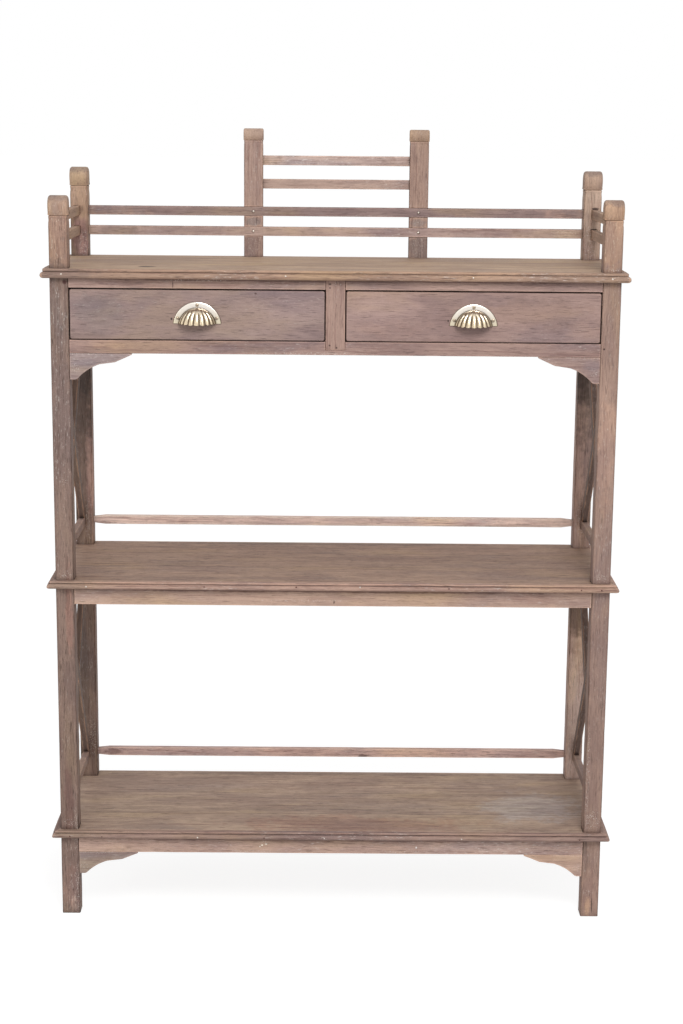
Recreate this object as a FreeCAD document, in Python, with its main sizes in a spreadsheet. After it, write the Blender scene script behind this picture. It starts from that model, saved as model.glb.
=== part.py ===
"""Shelf unit with two drawers: posts, boards, aprons, side braces, drawer case, gallery and crest.

Millimetres, +Z up, front towards -Y. The origin is on the floor, under the middle of the unit's box.
"""
import FreeCAD, Part

import math
import os

import Sketcher

Vector = FreeCAD.Vector

doc = FreeCAD.newDocument("shelf_unit")

# Driving sizes, each with the name that the expressions below use
SIZES = {
    "unit_width": 1100,
    "unit_depth": 360,
    "post_side": 36,
    "post_ease": 1.5,
    "front_post_rise": 138,
    "back_post_rise": 182,
    "head_height": 38,
    "head_bulge": 3,
    "head_notch": 2,
    "head_overhang": 1,
    "head_ease": 2,
    "top_board_level": 1318,
    "middle_board_level": 703,
    "bottom_board_level": 182,
    "top_board_thickness": 18,
    "lower_board_thickness": 15,
    "board_gap": 0.3,
    "moulding_projection": 17,
    "moulding_step": 1.5,
    "frame_setback": 7,
    "frame_thickness": 13,
    "apron_height": 34,
    "front_apron_thickness": 20,
    "tenon_length": 16,
    "tenon_shoulder": 5,
    "front_tenon_thickness": 10,
    "side_tenon_thickness": 7,
    "fit_gap": 0.2,
    "mortise_end_gap": 0.5,
    "rail_height": 19,
    "rail_raise": 41.5,
    "rail_housing": 10,
    "rail_taper_length": 25,
    "rail_end_height": 13,
    "brace_width": 22,
    "case_height": 145,
    "lower_rail_height": 26,
    "top_rail_height": 19,
    "panel_housing": 8,
    "divider_width": 38,
    "divider_depth": 24,
    "divider_lap": 12,
    "lower_lap_height": 16,
    "rail_tenon_thickness": 14,
    "rail_tenon_shoulder": 4,
    "runner_width": 46,
    "runner_thickness": 18,
    "centre_runner_width": 100,
    "guide_height": 20,
    "drawer_side_gap": 2,
    "drawer_top_gap": 2.5,
    "drawer_bottom_gap": 1.5,
    "running_gap": 0.3,
    "stop_gap": 0.5,
    "drawer_front_thickness": 18,
    "drawer_rebate": 10,
    "drawer_side_thickness": 10,
    "drawer_box_headroom": 19.7,
    "drawer_bottom_thickness": 6,
    "drawer_bottom_raise": 6,
    "groove_depth": 4,
    "drawer_back_inset": 12,
    "drawer_corner_radius": 4,
    "drawer_ease": 1.5,
    "bracket_length": 120,
    "upper_bracket_drop": 52,
    "lower_bracket_drop": 47,
    "bracket_tip": 3,
    "bracket_thickness": 14,
    "bracket_setback": 1,
    "gallery_raise": 43.5,
    "gallery_rail_height": 19,
    "gallery_rail_spacing": 41,
    "gallery_rail_thickness": 10,
    "crest_rise": 263,
    "crest_spacing": 343,
    "crest_post_width": 39,
    "crest_post_depth": 24,
    "crest_post_ease": 1,
    "crest_head_height": 24,
    "crest_head_bulge": 2,
    "crest_head_notch": 1.5,
    "crest_tenon_width": 24,
    "crest_tenon_thickness": 12,
    "crest_tenon_length": 12,
    "crest_slat_height": 20,
    "crest_slat_thickness": 9,
    "crest_slat_housing": 6,
    "crest_slat_drop": 54.5,
    "crest_slat_spacing": 48,
    "nail_head_diameter": 5,
    "nail_head_thickness": 1,
    "nail_width": 2.2,
    "nail_length": 20,
    "pilot_gap": 0.1,
    "pull_projection": 25,
    "pull_drop": 16,
    "flange_radius": 47,
    "flange_sink": 5.4,
    "flange_band": 12.5,
    "flange_thickness": 2,
    "shell_thickness": 1.8,
    "shell_margin": 1.2,
    "lobe_bulge": 1.5,
    "screw_head_diameter": 6.5,
    "screw_head_thickness": 1.6,
    "screw_diameter": 3,
    "screw_length": 14,
    "drawing_tolerance": 0.01,
}

# Shares of a bracket's length and drop at the corners of its lower edge, from its nose to its tip
BRACKET_RUN_SHARES = (0.06, 0.13, 0.48, 0.73)
BRACKET_DROP_SHARES = (1.0, 0.95, 0.42, 0.34)
BRACKET_RADIUS_SHARES = (0.085, 0.80)

# A cup pull's fluted shell: lobes round its rim, flats in each, and its levels as shares of its height
LOBES = 9
LOBE_FLATS = 4
SHELL_LEVEL_SHARES = (0.0, 0.3, 0.55, 0.75, 0.9, 0.98)
SCREW_ANGLES = (22.5, 90.0, 157.5)

sheet = doc.addObject("Spreadsheet::Sheet", "Sizes")
for row, (alias, number) in enumerate(SIZES.items(), start=1):
    sheet.set(f"A{row}", alias)
    sheet.set(f"B{row}", str(number))
    sheet.setAlias(f"B{row}", alias)
doc.recompute()

nodes = []


def value(expression):
    """The number that an expression on the sheet gives now."""
    result = sheet.evalExpression(expression)
    return float(getattr(result, "Value", result))


def node(piece, label):
    """Name a finished sub-part and list it for writing."""
    piece.Label = label
    nodes.append(piece)


def mirrored(span):
    """The same stretch on the other side of the middle plane."""
    low, high = span
    return (f"-({high})", f"-({low})")


def grown(span, gap):
    """A stretch with a clearance added at both ends."""
    low, high = span
    return (f"(({low}) - {gap})", f"(({high}) + {gap})")


def handed(side, span):
    """A stretch given for the right-hand side, on the side that is asked for."""
    return span if side == "right" else mirrored(span)


# Drawing outlines and blocks

PLANE_ROLES = {"x": "YZ_Plane", "y": "XZ_Plane", "z": "XY_Plane"}


def sketch_on(body, along, offset):
    """A sketch in a body, square to an axis, at an offset along that plane's normal."""
    role = PLANE_ROLES[along]
    plane = next(feature for feature in body.Origin.OriginFeatures if feature.Role == role)
    sketch = body.newObject("Sketcher::SketchObject", f"{body.Name}_sketch")
    sketch.AttachmentSupport = (plane, [""])
    sketch.MapMode = "FlatFace"
    sketch.setExpression("AttachmentOffset.Base.z", offset)
    return sketch


def bind(sketch, constraint, expression):
    """Add a driving size to a sketch and tie it to an expression."""
    index = sketch.addConstraint(constraint)
    sketch.setExpression(f"Constraints[{index}]", expression)


def outline(sketch, corners, arcs=None):
    """Close an outline through corners; arcs maps an edge to its radius and its centre's side.

    The side is 1 where the centre lies left of the edge, going round, and -1 where it lies right.
    """
    arcs = arcs or {}
    points = [Vector(value(across), value(up), 0) for across, up in corners]
    starts = []
    ends = []
    for index, start in enumerate(points):
        end = points[(index + 1) % len(points)]
        if index not in arcs:
            edge = sketch.addGeometry(Part.LineSegment(start, end), False)
            starts.append((edge, 1))
            ends.append((edge, 2))
            continue
        radius_expression, side = arcs[index]
        radius = value(radius_expression)
        chord = end - start
        height = math.sqrt(max(radius ** 2 - (chord.Length / 2) ** 2, 0))
        left = Vector(-chord.y, chord.x, 0).normalize()
        centre = (start + end) / 2 + left * height * side
        first, last = (start, end) if side > 0 else (end, start)
        first_angle = math.atan2(first.y - centre.y, first.x - centre.x)
        last_angle = math.atan2(last.y - centre.y, last.x - centre.x)
        circle = Part.Circle(centre, Vector(0, 0, 1), radius)
        edge = sketch.addGeometry(Part.ArcOfCircle(circle, first_angle, last_angle), False)
        starts.append((edge, 1) if side > 0 else (edge, 2))
        ends.append((edge, 2) if side > 0 else (edge, 1))
    for index, end in enumerate(ends):
        sketch.addConstraint(Sketcher.Constraint("Coincident", *end, *starts[(index + 1) % len(starts)]))
    for point, start, (across, up) in zip(points, starts, corners):
        bind(sketch, Sketcher.Constraint("DistanceX", -1, 1, *start, point.x), across)
        bind(sketch, Sketcher.Constraint("DistanceY", -1, 1, *start, point.y), up)
    for index, (radius_expression, _) in arcs.items():
        edge = starts[index][0]
        bind(sketch, Sketcher.Constraint("Radius", edge, value(radius_expression)), radius_expression)


def swept(body, kind, sketch, stretch):
    """A pad or pocket as long as a stretch, on the side that the sketch's normal points to."""
    low, high = stretch
    feature = body.newObject(kind, f"{body.Name}_step")
    feature.Profile = sketch
    feature.setExpression("Length", f"({high}) - ({low})")
    feature.Reversed = kind == "PartDesign::Pocket"


def extrude(body, along, stretch, corners, arcs=None, cut=False):
    """Pad or pocket an outline over a stretch of the axis that it is square to."""
    low, high = stretch
    offset = f"-({high})" if along == "y" else low
    sketch = sketch_on(body, along, offset)
    outline(sketch, corners, arcs)
    swept(body, "PartDesign::Pocket" if cut else "PartDesign::Pad", sketch, stretch)


def block(body, x, y, z, along="z", cut=False):
    """Add or cut the block between six faces, drawn square to one axis."""
    spans = {"x": x, "y": y, "z": z}
    across, up = [spans[axis] for axis in "xyz" if axis != along]
    corners = [(across[0], up[0]), (across[1], up[0]), (across[1], up[1]), (across[0], up[1])]
    extrude(body, along, spans[along], corners, cut=cut)


def drill(body, y, centres, radius):
    """Holes from front to back through a body, one at each centre."""
    sketch = sketch_on(body, "y", f"-({y[1]})")
    for across, up in centres:
        circle = Part.Circle(Vector(value(across), value(up), 0), Vector(0, 0, 1), value(radius))
        edge = sketch.addGeometry(circle, False)
        bind(sketch, Sketcher.Constraint("DistanceX", -1, 1, edge, 3, value(across)), across)
        bind(sketch, Sketcher.Constraint("DistanceY", -1, 1, edge, 3, value(up)), up)
        bind(sketch, Sketcher.Constraint("Radius", edge, value(radius)), radius)
    swept(body, "PartDesign::Pocket", sketch, y)


def new_body(name):
    return doc.addObject("PartDesign::Body", name)


def box_body(name, x, y, z, along="z"):
    body = new_body(name)
    block(body, x, y, z, along)
    return body


def dress(body, kind, size, chosen):
    """Round or bevel the edges of a body's last feature that a test chooses."""
    doc.recompute()
    base = body.Tip
    names = [f"Edge{number}" for number, edge in enumerate(base.Shape.Edges, start=1) if chosen(edge)]
    feature = body.newObject(f"PartDesign::{kind}", f"{body.Name}_dressing")
    feature.Base = (base, names)
    feature.setExpression("Radius" if kind == "Fillet" else "Size", size)


def flat(extent):
    """Whether an extent is nothing, as far as a drawing can tell."""
    return abs(extent) < SIZES["drawing_tolerance"]


def eased_section(x, y, ease):
    """Plan of a square stick with its four long edges planed off."""
    (left, right), (front, back) = x, y
    return [(f"({left} + {ease})", front), (f"({right} - {ease})", front), (right, f"({front} + {ease})"),
            (right, f"({back} - {ease})"), (f"({right} - {ease})", back), (f"({left} + {ease})", back),
            (left, f"({back} - {ease})"), (left, f"({front} + {ease})")]


def rod(name, axis_x, front, axis_z, radius, length):
    """A round piece that runs straight back from its front face."""
    piece = doc.addObject("Part::Cylinder", name)
    piece.setExpression("Radius", radius)
    piece.setExpression("Height", length)
    piece.Placement.Rotation = FreeCAD.Rotation(Vector(0, 0, 1), Vector(0, 1, 0))
    piece.setExpression("Placement.Base.x", axis_x)
    piece.setExpression("Placement.Base.y", front)
    piece.setExpression("Placement.Base.z", axis_z)
    return piece


def combined(kind, name, base, tool):
    """Two pieces joined by Part::Fuse, or the second cut from the first by Part::Cut."""
    result = doc.addObject(kind, name)
    result.Base = base
    result.Tool = tool
    return result


def compound(name, pieces):
    group = doc.addObject("Part::Compound", name)
    group.Links = pieces
    return group


def grouped(label, pieces):
    """Like pieces that share one node, each still its own solid."""
    node(compound(label, pieces), label)


# Faces that several pieces share

outer_x = "(Sizes.unit_width / 2)"
inner_x = f"({outer_x} - Sizes.post_side)"
side_outer_x = f"({outer_x} - Sizes.frame_setback)"
side_x = (f"({side_outer_x} - Sizes.frame_thickness)", side_outer_x)
post_x = (inner_x, outer_x)
between_posts_x = (f"-{inner_x}", inner_x)

back_y = "((Sizes.unit_depth + Sizes.pull_projection) / 2)"
front_y = f"({back_y} - Sizes.unit_depth)"
front_post_y = (front_y, f"({front_y} + Sizes.post_side)")
back_post_y = (f"({back_y} - Sizes.post_side)", back_y)
between_posts_y = (front_post_y[1], back_post_y[0])
back_outer_y = f"({back_y} - Sizes.frame_setback)"
back_frame_y = (f"({back_outer_y} - Sizes.frame_thickness)", back_outer_y)
front_apron_y = (front_y, f"({front_y} + Sizes.front_apron_thickness)")

top_under = "(Sizes.top_board_level - Sizes.top_board_thickness)"
middle_under = "(Sizes.middle_board_level - Sizes.lower_board_thickness)"
bottom_under = "(Sizes.bottom_board_level - Sizes.lower_board_thickness)"
middle_apron_z = (f"({middle_under} - Sizes.apron_height)", middle_under)
bottom_apron_z = (f"({bottom_under} - Sizes.apron_height)", bottom_under)
case_low = f"({top_under} - Sizes.case_height)"
case_z = (case_low, top_under)
opening_low = f"({case_low} + Sizes.lower_rail_height)"
opening_high = f"({top_under} - Sizes.top_rail_height)"
lower_rail_z = (case_low, opening_low)
top_rail_z = (opening_high, top_under)


def rail_span(board_level):
    """The height of a rail that stands clear above a board."""
    low = f"({board_level} + Sizes.rail_raise)"
    return (low, f"({low} + Sizes.rail_height)")


middle_rail_z = rail_span("Sizes.middle_board_level")
bottom_rail_z = rail_span("Sizes.bottom_board_level")

gallery_low = "(Sizes.top_board_level + Sizes.gallery_raise)"
gallery_zs = [(f"({gallery_low} + {step} * Sizes.gallery_rail_spacing)",
               f"({gallery_low} + {step} * Sizes.gallery_rail_spacing + Sizes.gallery_rail_height)")
              for step in range(2)]
crest_y = (f"({back_y} - Sizes.crest_post_depth)", back_y)
gallery_y = (crest_y[0], f"({crest_y[0]} + Sizes.gallery_rail_thickness)")


def tenon_span(span, thickness):
    """The middle part of a piece's thickness that its tenon keeps."""
    low, high = span
    return (f"((({low}) + ({high}) - {thickness}) / 2)", f"((({low}) + ({high}) + {thickness}) / 2)")


def shouldered(span, shoulder):
    low, high = span
    return (f"(({low}) + {shoulder})", f"(({high}) - {shoulder})")


front_tenon_y = tenon_span(front_apron_y, "Sizes.front_tenon_thickness")
back_tenon_y = tenon_span(back_frame_y, "Sizes.side_tenon_thickness")
side_tenon_x = tenon_span(side_x, "Sizes.side_tenon_thickness")
rail_tenon_y = tenon_span(front_post_y, "Sizes.rail_tenon_thickness")
apron_tenon_zs = [shouldered(z, "Sizes.tenon_shoulder") for z in (middle_apron_z, bottom_apron_z)]
drawer_rail_tenon_zs = [shouldered(z, "Sizes.rail_tenon_shoulder") for z in (lower_rail_z, top_rail_z)]

# Corner posts: one stick each from the floor to a scroll head that rolls forward over a crease


def head_outline(front, depth, top, height, bulge, notch):
    """Side view of a scroll head: a roll over the post's top, drawn in under its front."""
    roll = f"(({depth} + {bulge}) / 2)"
    nose_y = f"({front} - {bulge})"
    crease = (f"({front} + {notch})", f"({top} - {height})")
    corners = [crease,
               (nose_y, f"({top} - {roll})"),
               (f"({nose_y} + {roll})", top),
               (f"({front} + {depth})", f"({top} - {roll})"),
               (f"({front} + {depth})", crease[1])]
    fall = f"({height} - {roll})"
    reach = f"({bulge} + {notch})"
    under = f"(({fall} ^ 2 + {reach} ^ 2) / (2 * {reach}))"
    return corners, {0: (under, -1), 1: (roll, -1), 2: (roll, -1)}


def head_edge(edge, crease_level):
    """Whether an edge runs round the end of a head, above its crease."""
    box = edge.BoundBox
    return flat(box.XLength) and not flat(box.ZLength) and box.ZMax > crease_level


def corner_post(end, side):
    """A corner post with its head and every mortise that its neighbours need."""
    name = f"{end}_{side}_post"
    body = new_body(name)
    x = handed(side, post_x)
    y = front_post_y if end == "front" else back_post_y
    top = f"(Sizes.top_board_level + Sizes.{end}_post_rise)"
    crease_level = f"({top} - Sizes.head_height)"
    corners, arcs = head_outline(y[0], "Sizes.post_side", top, "Sizes.head_height",
                                 "Sizes.head_bulge", "Sizes.head_notch")
    extrude(body, "x", grown(x, "Sizes.head_overhang"), corners, arcs)
    dress(body, "Chamfer", "Sizes.head_ease", lambda edge: head_edge(edge, value(crease_level)))
    extrude(body, "z", ("0", crease_level), eased_section(x, y, "Sizes.post_ease"))
    inward_x = (f"({inner_x})", f"({inner_x} + Sizes.tenon_length + Sizes.mortise_end_gap)")
    housed_x = (inner_x, f"({inner_x} + Sizes.rail_housing + Sizes.mortise_end_gap)")
    paneled_x = (inner_x, f"({inner_x} + Sizes.panel_housing + Sizes.mortise_end_gap)")

    def into(length):
        """A stretch that enters the post from the gap between front and back posts."""
        reach = f"{length} + Sizes.mortise_end_gap"
        if end == "front":
            return (f"({y[1]} - ({reach}))", y[1])
        return (y[0], f"({y[0]} + {reach})")

    if end == "front":
        for z in apron_tenon_zs:
            mortise(body, handed(side, inward_x), front_tenon_y, z, "x")
        for z in drawer_rail_tenon_zs:
            mortise(body, handed(side, inward_x), rail_tenon_y, z, "x")
    else:
        for z in apron_tenon_zs:
            mortise(body, handed(side, inward_x), back_tenon_y, z, "x")
        for z in (middle_rail_z, bottom_rail_z):
            mortise(body, handed(side, housed_x), back_frame_y, rail_end(z), "x")
        mortise(body, handed(side, paneled_x), back_frame_y, case_z, "x")
        for z in gallery_zs:
            mortise(body, handed(side, housed_x), gallery_y, z, "x")
    for z in apron_tenon_zs:
        mortise(body, handed(side, side_tenon_x), into("Sizes.tenon_length"), z, "y")
    for z in (middle_rail_z, bottom_rail_z, *gallery_zs):
        mortise(body, handed(side, side_x), into("Sizes.rail_housing"), z, "y")
    mortise(body, handed(side, side_x), into("Sizes.panel_housing"), case_z, "y")
    node(body, name)


def mortise(body, x, y, z, along):
    """A socket for a tenon or a housed end, with a cheek gap across the way that it enters."""
    spans = {"x": x, "y": y, "z": z}
    for axis in "xyz":
        if axis != along:
            spans[axis] = grown(spans[axis], "Sizes.fit_gap")
    block(body, spans["x"], spans["y"], spans["z"], along, cut=True)


def rail_end(span):
    """The height of a back rail's tapered end, centred on the rail."""
    return tenon_span(span, "Sizes.rail_end_height")


for end in ("front", "back"):
    for side in ("left", "right"):
        corner_post(end, side)

# Shelf boards, notched round the posts, each with a mitred moulding nailed to three edges

board_levels = {"top": ("Sizes.top_board_level", "Sizes.top_board_thickness"),
                "middle": ("Sizes.middle_board_level", "Sizes.lower_board_thickness"),
                "bottom": ("Sizes.bottom_board_level", "Sizes.lower_board_thickness")}
crest_centre_x = "(Sizes.crest_spacing / 2)"
crest_tenon_x = (f"({crest_centre_x} - Sizes.crest_tenon_width / 2)",
                 f"({crest_centre_x} + Sizes.crest_tenon_width / 2)")
crest_tenon_y = tenon_span(crest_y, "Sizes.crest_tenon_thickness")
crest_tenon_z = ("(Sizes.top_board_level - Sizes.crest_tenon_length)", "Sizes.top_board_level")

for tier, (level, thickness) in board_levels.items():
    board_z = (f"({level} - {thickness})", level)
    board = box_body(f"{tier}_board", (f"-{outer_x}", outer_x), (front_y, back_y), board_z)
    for side in ("left", "right"):
        notch_x = handed(side, (f"({inner_x} - Sizes.board_gap)", outer_x))
        block(board, notch_x, (front_y, f"({front_post_y[1]} + Sizes.board_gap)"), board_z, cut=True)
        block(board, notch_x, (f"({back_post_y[0]} - Sizes.board_gap)", back_y), board_z, cut=True)
        if tier == "top":
            mortise_z = (f"({crest_tenon_z[0]} - Sizes.mortise_end_gap)", crest_tenon_z[1])
            mortise(board, handed(side, crest_tenon_x), crest_tenon_y, mortise_z, "z")
    node(board, f"{tier}_board")


def moulding_corners(edge, outward, low, thickness):
    """Section of a moulding: a flat top, a small step, then a half-round nose down to its underside."""
    nose = f"(({thickness} - Sizes.moulding_step) / 2)"
    tip = f"({edge} {outward} Sizes.moulding_projection)"
    nose_start = f"({edge} {outward} (Sizes.moulding_projection - {nose}))"
    high = f"({low} + {thickness})"
    corners = [(edge, low), (nose_start, low), (tip, f"({low} + {nose})"),
               (nose_start, f"({high} - Sizes.moulding_step)"), (nose_start, high), (edge, high)]
    centre_side = 1 if outward == "+" else -1
    return corners, {1: (nose, centre_side), 2: (nose, centre_side)}


def moulding(tier, level, thickness):
    """The front and side strips round one board, mitred where they meet."""
    low = f"({level} - {thickness})"
    tip_x = f"({outer_x} + Sizes.moulding_projection)"
    tip_y = f"({front_y} - Sizes.moulding_projection)"
    height = (low, level)
    front = new_body(f"{tier}_front_moulding")
    corners, arcs = moulding_corners(front_y, "-", low, thickness)
    extrude(front, "x", (f"-{tip_x}", tip_x), corners, arcs)
    strips = [front]
    for side, sign, outward in (("left", "-", "-"), ("right", "", "+")):
        mitre = [(f"{sign}{outer_x}", front_y), (f"{sign}{tip_x}", tip_y), (f"{sign}{tip_x}", front_y)]
        extrude(front, "z", height, mitre, cut=True)
        strip = new_body(f"{tier}_{side}_moulding")
        corners, arcs = moulding_corners(f"{sign}{outer_x}", outward, low, thickness)
        extrude(strip, "y", (tip_y, back_y), corners, arcs)
        mitre = [(f"{sign}{outer_x}", front_y), (f"{sign}{tip_x}", tip_y), (f"{sign}{outer_x}", tip_y)]
        extrude(strip, "z", height, mitre, cut=True)
        strips.append(strip)
    grouped(f"{tier}_moulding", strips)


for tier, (level, thickness) in board_levels.items():
    moulding(tier, level, thickness)

# Aprons under the middle and bottom boards, tenoned into the posts


def tenoned(name, x, y, z, tenon_x, tenon_y, tenon_z, along):
    """A straight piece with a tenon at each end, cut from one block."""
    body = box_body(name, x, y, z, along)
    block(body, tenon_x, tenon_y, tenon_z, along)
    return body


tenoned_x = (f"(-{inner_x} - Sizes.tenon_length)", f"({inner_x} + Sizes.tenon_length)")
tenoned_y = (f"({between_posts_y[0]} - Sizes.tenon_length)", f"({between_posts_y[1]} + Sizes.tenon_length)")
for tier, z, tenon_z in zip(("middle", "bottom"), (middle_apron_z, bottom_apron_z), apron_tenon_zs):
    node(tenoned(f"{tier}_front_apron", between_posts_x, front_apron_y, z,
                 tenoned_x, front_tenon_y, tenon_z, "x"), f"{tier}_front_apron")
    node(tenoned(f"{tier}_back_apron", between_posts_x, back_frame_y, z,
                 tenoned_x, back_tenon_y, tenon_z, "x"), f"{tier}_back_apron")
    grouped(f"{tier}_side_aprons",
            [tenoned(f"{tier}_{side}_apron", handed(side, side_x), between_posts_y, z,
                     handed(side, side_tenon_x), tenoned_y, tenon_z, "y") for side in ("left", "right")])

# Rails that stand clear above the middle and bottom boards, housed in the posts

housed_y = (f"({between_posts_y[0]} - Sizes.rail_housing)", f"({between_posts_y[1]} + Sizes.rail_housing)")
housed_end_x = f"({inner_x} + Sizes.rail_housing)"


def back_rail(tier, z):
    """A back rail that thins towards both ends before it enters the posts."""
    body = new_body(f"{tier}_back_rail")
    end_z = rail_end(z)
    full_x = f"({inner_x} - Sizes.rail_taper_length)"
    right = [(full_x, z[0]), (inner_x, end_z[0]), (housed_end_x, end_z[0]),
             (housed_end_x, end_z[1]), (inner_x, end_z[1]), (full_x, z[1])]
    left = [(f"-{across}", up) for across, up in reversed(right)]
    extrude(body, "y", back_frame_y, right + left)
    node(body, f"{tier}_back_rail")


for tier, z in (("middle", middle_rail_z), ("bottom", bottom_rail_z)):
    back_rail(tier, z)
    grouped(f"{tier}_side_rails", [box_body(f"{tier}_{side}_rail", handed(side, side_x), housed_y, z, "y")
                                   for side in ("left", "right")])

# Crossed braces in the side bays, halved together where they cross


def brace_outline(low, high, rising, gap="0"):
    """A slat from corner to corner of a bay, its ends cut to the rail, the post and the frame above."""
    start, end = between_posts_y
    run = f"(({end}) - ({start}))"
    rise = f"(({high}) - ({low}))"
    length = f"sqrt({run} ^ 2 + {rise} ^ 2)"
    half = f"((Sizes.brace_width / 2) + {gap})"
    along_run = f"({half} * {length} / {rise})"
    along_rise = f"({half} * {length} / {run})"
    if rising:
        return [(start, low), (f"({start} + {along_run})", low), (end, f"({high} - {along_rise})"),
                (end, high), (f"({end} - {along_run})", high), (start, f"({low} + {along_rise})")]
    return [(end, low), (end, f"({low} + {along_rise})"), (f"({start} + {along_run})", high),
            (start, high), (start, f"({high} - {along_rise})"), (f"({end} - {along_run})", low)]


bays = {"upper": (middle_rail_z[1], case_low),
        "lower": (bottom_rail_z[1], middle_apron_z[0])}
side_middle_x = f"({side_outer_x} - Sizes.frame_thickness / 2)"
for bay, (low, high) in bays.items():
    for side in ("left", "right"):
        for rising in (True, False):
            name = f"{bay}_{side}_{'rising' if rising else 'falling'}_brace"
            brace = new_body(name)
            extrude(brace, "x", handed(side, side_x), brace_outline(low, high, rising))
            if rising:
                lap_x = (side_x[0], f"({side_middle_x} + Sizes.fit_gap / 2)")
            else:
                lap_x = (f"({side_middle_x} - Sizes.fit_gap / 2)", side_x[1])
            lap = brace_outline(low, high, not rising, "Sizes.fit_gap")
            extrude(brace, "x", handed(side, lap_x), lap, cut=True)
            node(brace, name)

# Drawer case: two front rails, a divider lapped over them, side panels and a back panel

lap_y = (front_y, f"({front_y} + Sizes.divider_lap)")
divider_y = (front_y, f"({front_y} + Sizes.divider_depth)")
divider_half = "(Sizes.divider_width / 2)"
divider_x = (f"-{divider_half}", divider_half)
lower_lap_z = (f"({opening_low} - Sizes.lower_lap_height)", opening_low)

top_rail = tenoned("drawer_top_rail", between_posts_x, front_post_y, top_rail_z,
                   tenoned_x, rail_tenon_y, drawer_rail_tenon_zs[1], "x")
block(top_rail, grown(divider_x, "Sizes.fit_gap"), grown(lap_y, "Sizes.fit_gap"), top_rail_z, "y", cut=True)
node(top_rail, "drawer_top_rail")

lower_rail = tenoned("drawer_lower_rail", between_posts_x, front_post_y, lower_rail_z,
                     tenoned_x, rail_tenon_y, drawer_rail_tenon_zs[0], "x")
block(lower_rail, grown(divider_x, "Sizes.fit_gap"), grown(lap_y, "Sizes.fit_gap"),
      (f"({lower_lap_z[0]} - Sizes.fit_gap)", lower_lap_z[1]), "y", cut=True)
centre_runner_x = ("-Sizes.centre_runner_width / 2", "Sizes.centre_runner_width / 2")
runner_z = (f"({opening_low} - Sizes.runner_thickness)", opening_low)
runner_housing_y = (f"({front_post_y[1]} - Sizes.panel_housing)", front_post_y[1])
block(lower_rail, grown(centre_runner_x, "Sizes.fit_gap"),
      (f"({runner_housing_y[0]} - Sizes.mortise_end_gap)", runner_housing_y[1]),
      (f"({runner_z[0]} - Sizes.fit_gap)", runner_z[1]), "y", cut=True)
node(lower_rail, "drawer_lower_rail")

divider = box_body("drawer_divider", divider_x, divider_y, (opening_low, opening_high), "y")
block(divider, divider_x, lap_y, (lower_lap_z[0], top_under), "y")
node(divider, "drawer_divider")

panel_y = (f"({between_posts_y[0]} - Sizes.panel_housing)", f"({between_posts_y[1]} + Sizes.panel_housing)")
panel_x = (f"(-{inner_x} - Sizes.panel_housing)", f"({inner_x} + Sizes.panel_housing)")
for side in ("left", "right"):
    node(box_body(f"{side}_case_side", handed(side, side_x), panel_y, case_z, "x"), f"{side}_case_side")
node(box_body("case_back", panel_x, back_frame_y, case_z, "y"), "case_back")

# Runners under the drawers, and guides beside them that keep them straight

runner_x = (f"({side_x[0]} - Sizes.runner_width)", side_x[0])
grouped("side_runners", [box_body(f"{side}_runner", handed(side, runner_x), between_posts_y, runner_z, "y")
                         for side in ("left", "right")])
centre_runner_y = (runner_housing_y[0], back_frame_y[0])
node(box_body("centre_runner", centre_runner_x, centre_runner_y, runner_z, "y"), "centre_runner")
guide_z = (opening_low, f"({opening_low} + Sizes.guide_height)")
guides = [box_body(f"{side}_guide", handed(side, (inner_x, side_x[0])), between_posts_y, guide_z, "y")
          for side in ("left", "right")]
guides.append(box_body("centre_guide", divider_x, (divider_y[1], back_frame_y[0]), guide_z, "y"))
grouped("drawer_guides", guides)

# Corner brackets: a rounded nose at the post, a long hollow, a short flat and a slope to a thin tip


def bracket(name, side, under, drop):
    """A bracket in the corner between a post and the rail or apron over it."""
    sign = "-" if side == "left" else ""
    runs = [f"({share} * Sizes.bracket_length)" for share in BRACKET_RUN_SHARES]
    drops = [f"({share} * {drop})" for share in BRACKET_DROP_SHARES]
    shape = [("0", "0"), ("0", drops[0]), *zip(runs, drops),
             ("Sizes.bracket_length", "Sizes.bracket_tip"), ("Sizes.bracket_length", "0")]
    corners = [(f"{sign}({inner_x} - {run})", f"({under} - {fall})") for run, fall in shape]
    nose, hollow = [f"({share} * Sizes.bracket_length)" for share in BRACKET_RADIUS_SHARES]
    turn = 1 if side == "left" else -1
    arcs = {2: (nose, turn), 3: (hollow, -turn)}
    body = new_body(name)
    near = f"({front_y} + Sizes.bracket_setback)"
    extrude(body, "y", (near, f"({near} + Sizes.bracket_thickness)"), corners, arcs)
    return body


for tier, under, drop in (("upper", case_low, "Sizes.upper_bracket_drop"),
                          ("lower", bottom_apron_z[0], "Sizes.lower_bracket_drop")):
    for side in ("left", "right"):
        node(bracket(f"{tier}_{side}_bracket", side, under, drop), f"{tier}_{side}_bracket")

# Gallery round the top board, with a crest of two posts and two slats above its back

nail_levels = [f"({low} + Sizes.gallery_rail_height / 2)" for low, _ in gallery_zs]
nail_front = f"({gallery_y[0]} - Sizes.nail_head_thickness)"
nail_y = (gallery_y[0], f"({gallery_y[0]} + Sizes.nail_length)")


def nail_span(axis):
    """What a square nail fills of the x or z axis."""
    return (f"({axis} - Sizes.nail_width / 2)", f"({axis} + Sizes.nail_width / 2)")


def nail_hole(body, axis_x, axis_z):
    """A hole with a little room round the nail, straight back from the rails' front faces."""
    block(body, grown(nail_span(axis_x), "Sizes.pilot_gap"), grown(nail_y, "Sizes.pilot_gap"),
          grown(nail_span(axis_z), "Sizes.pilot_gap"), "y", cut=True)


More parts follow.
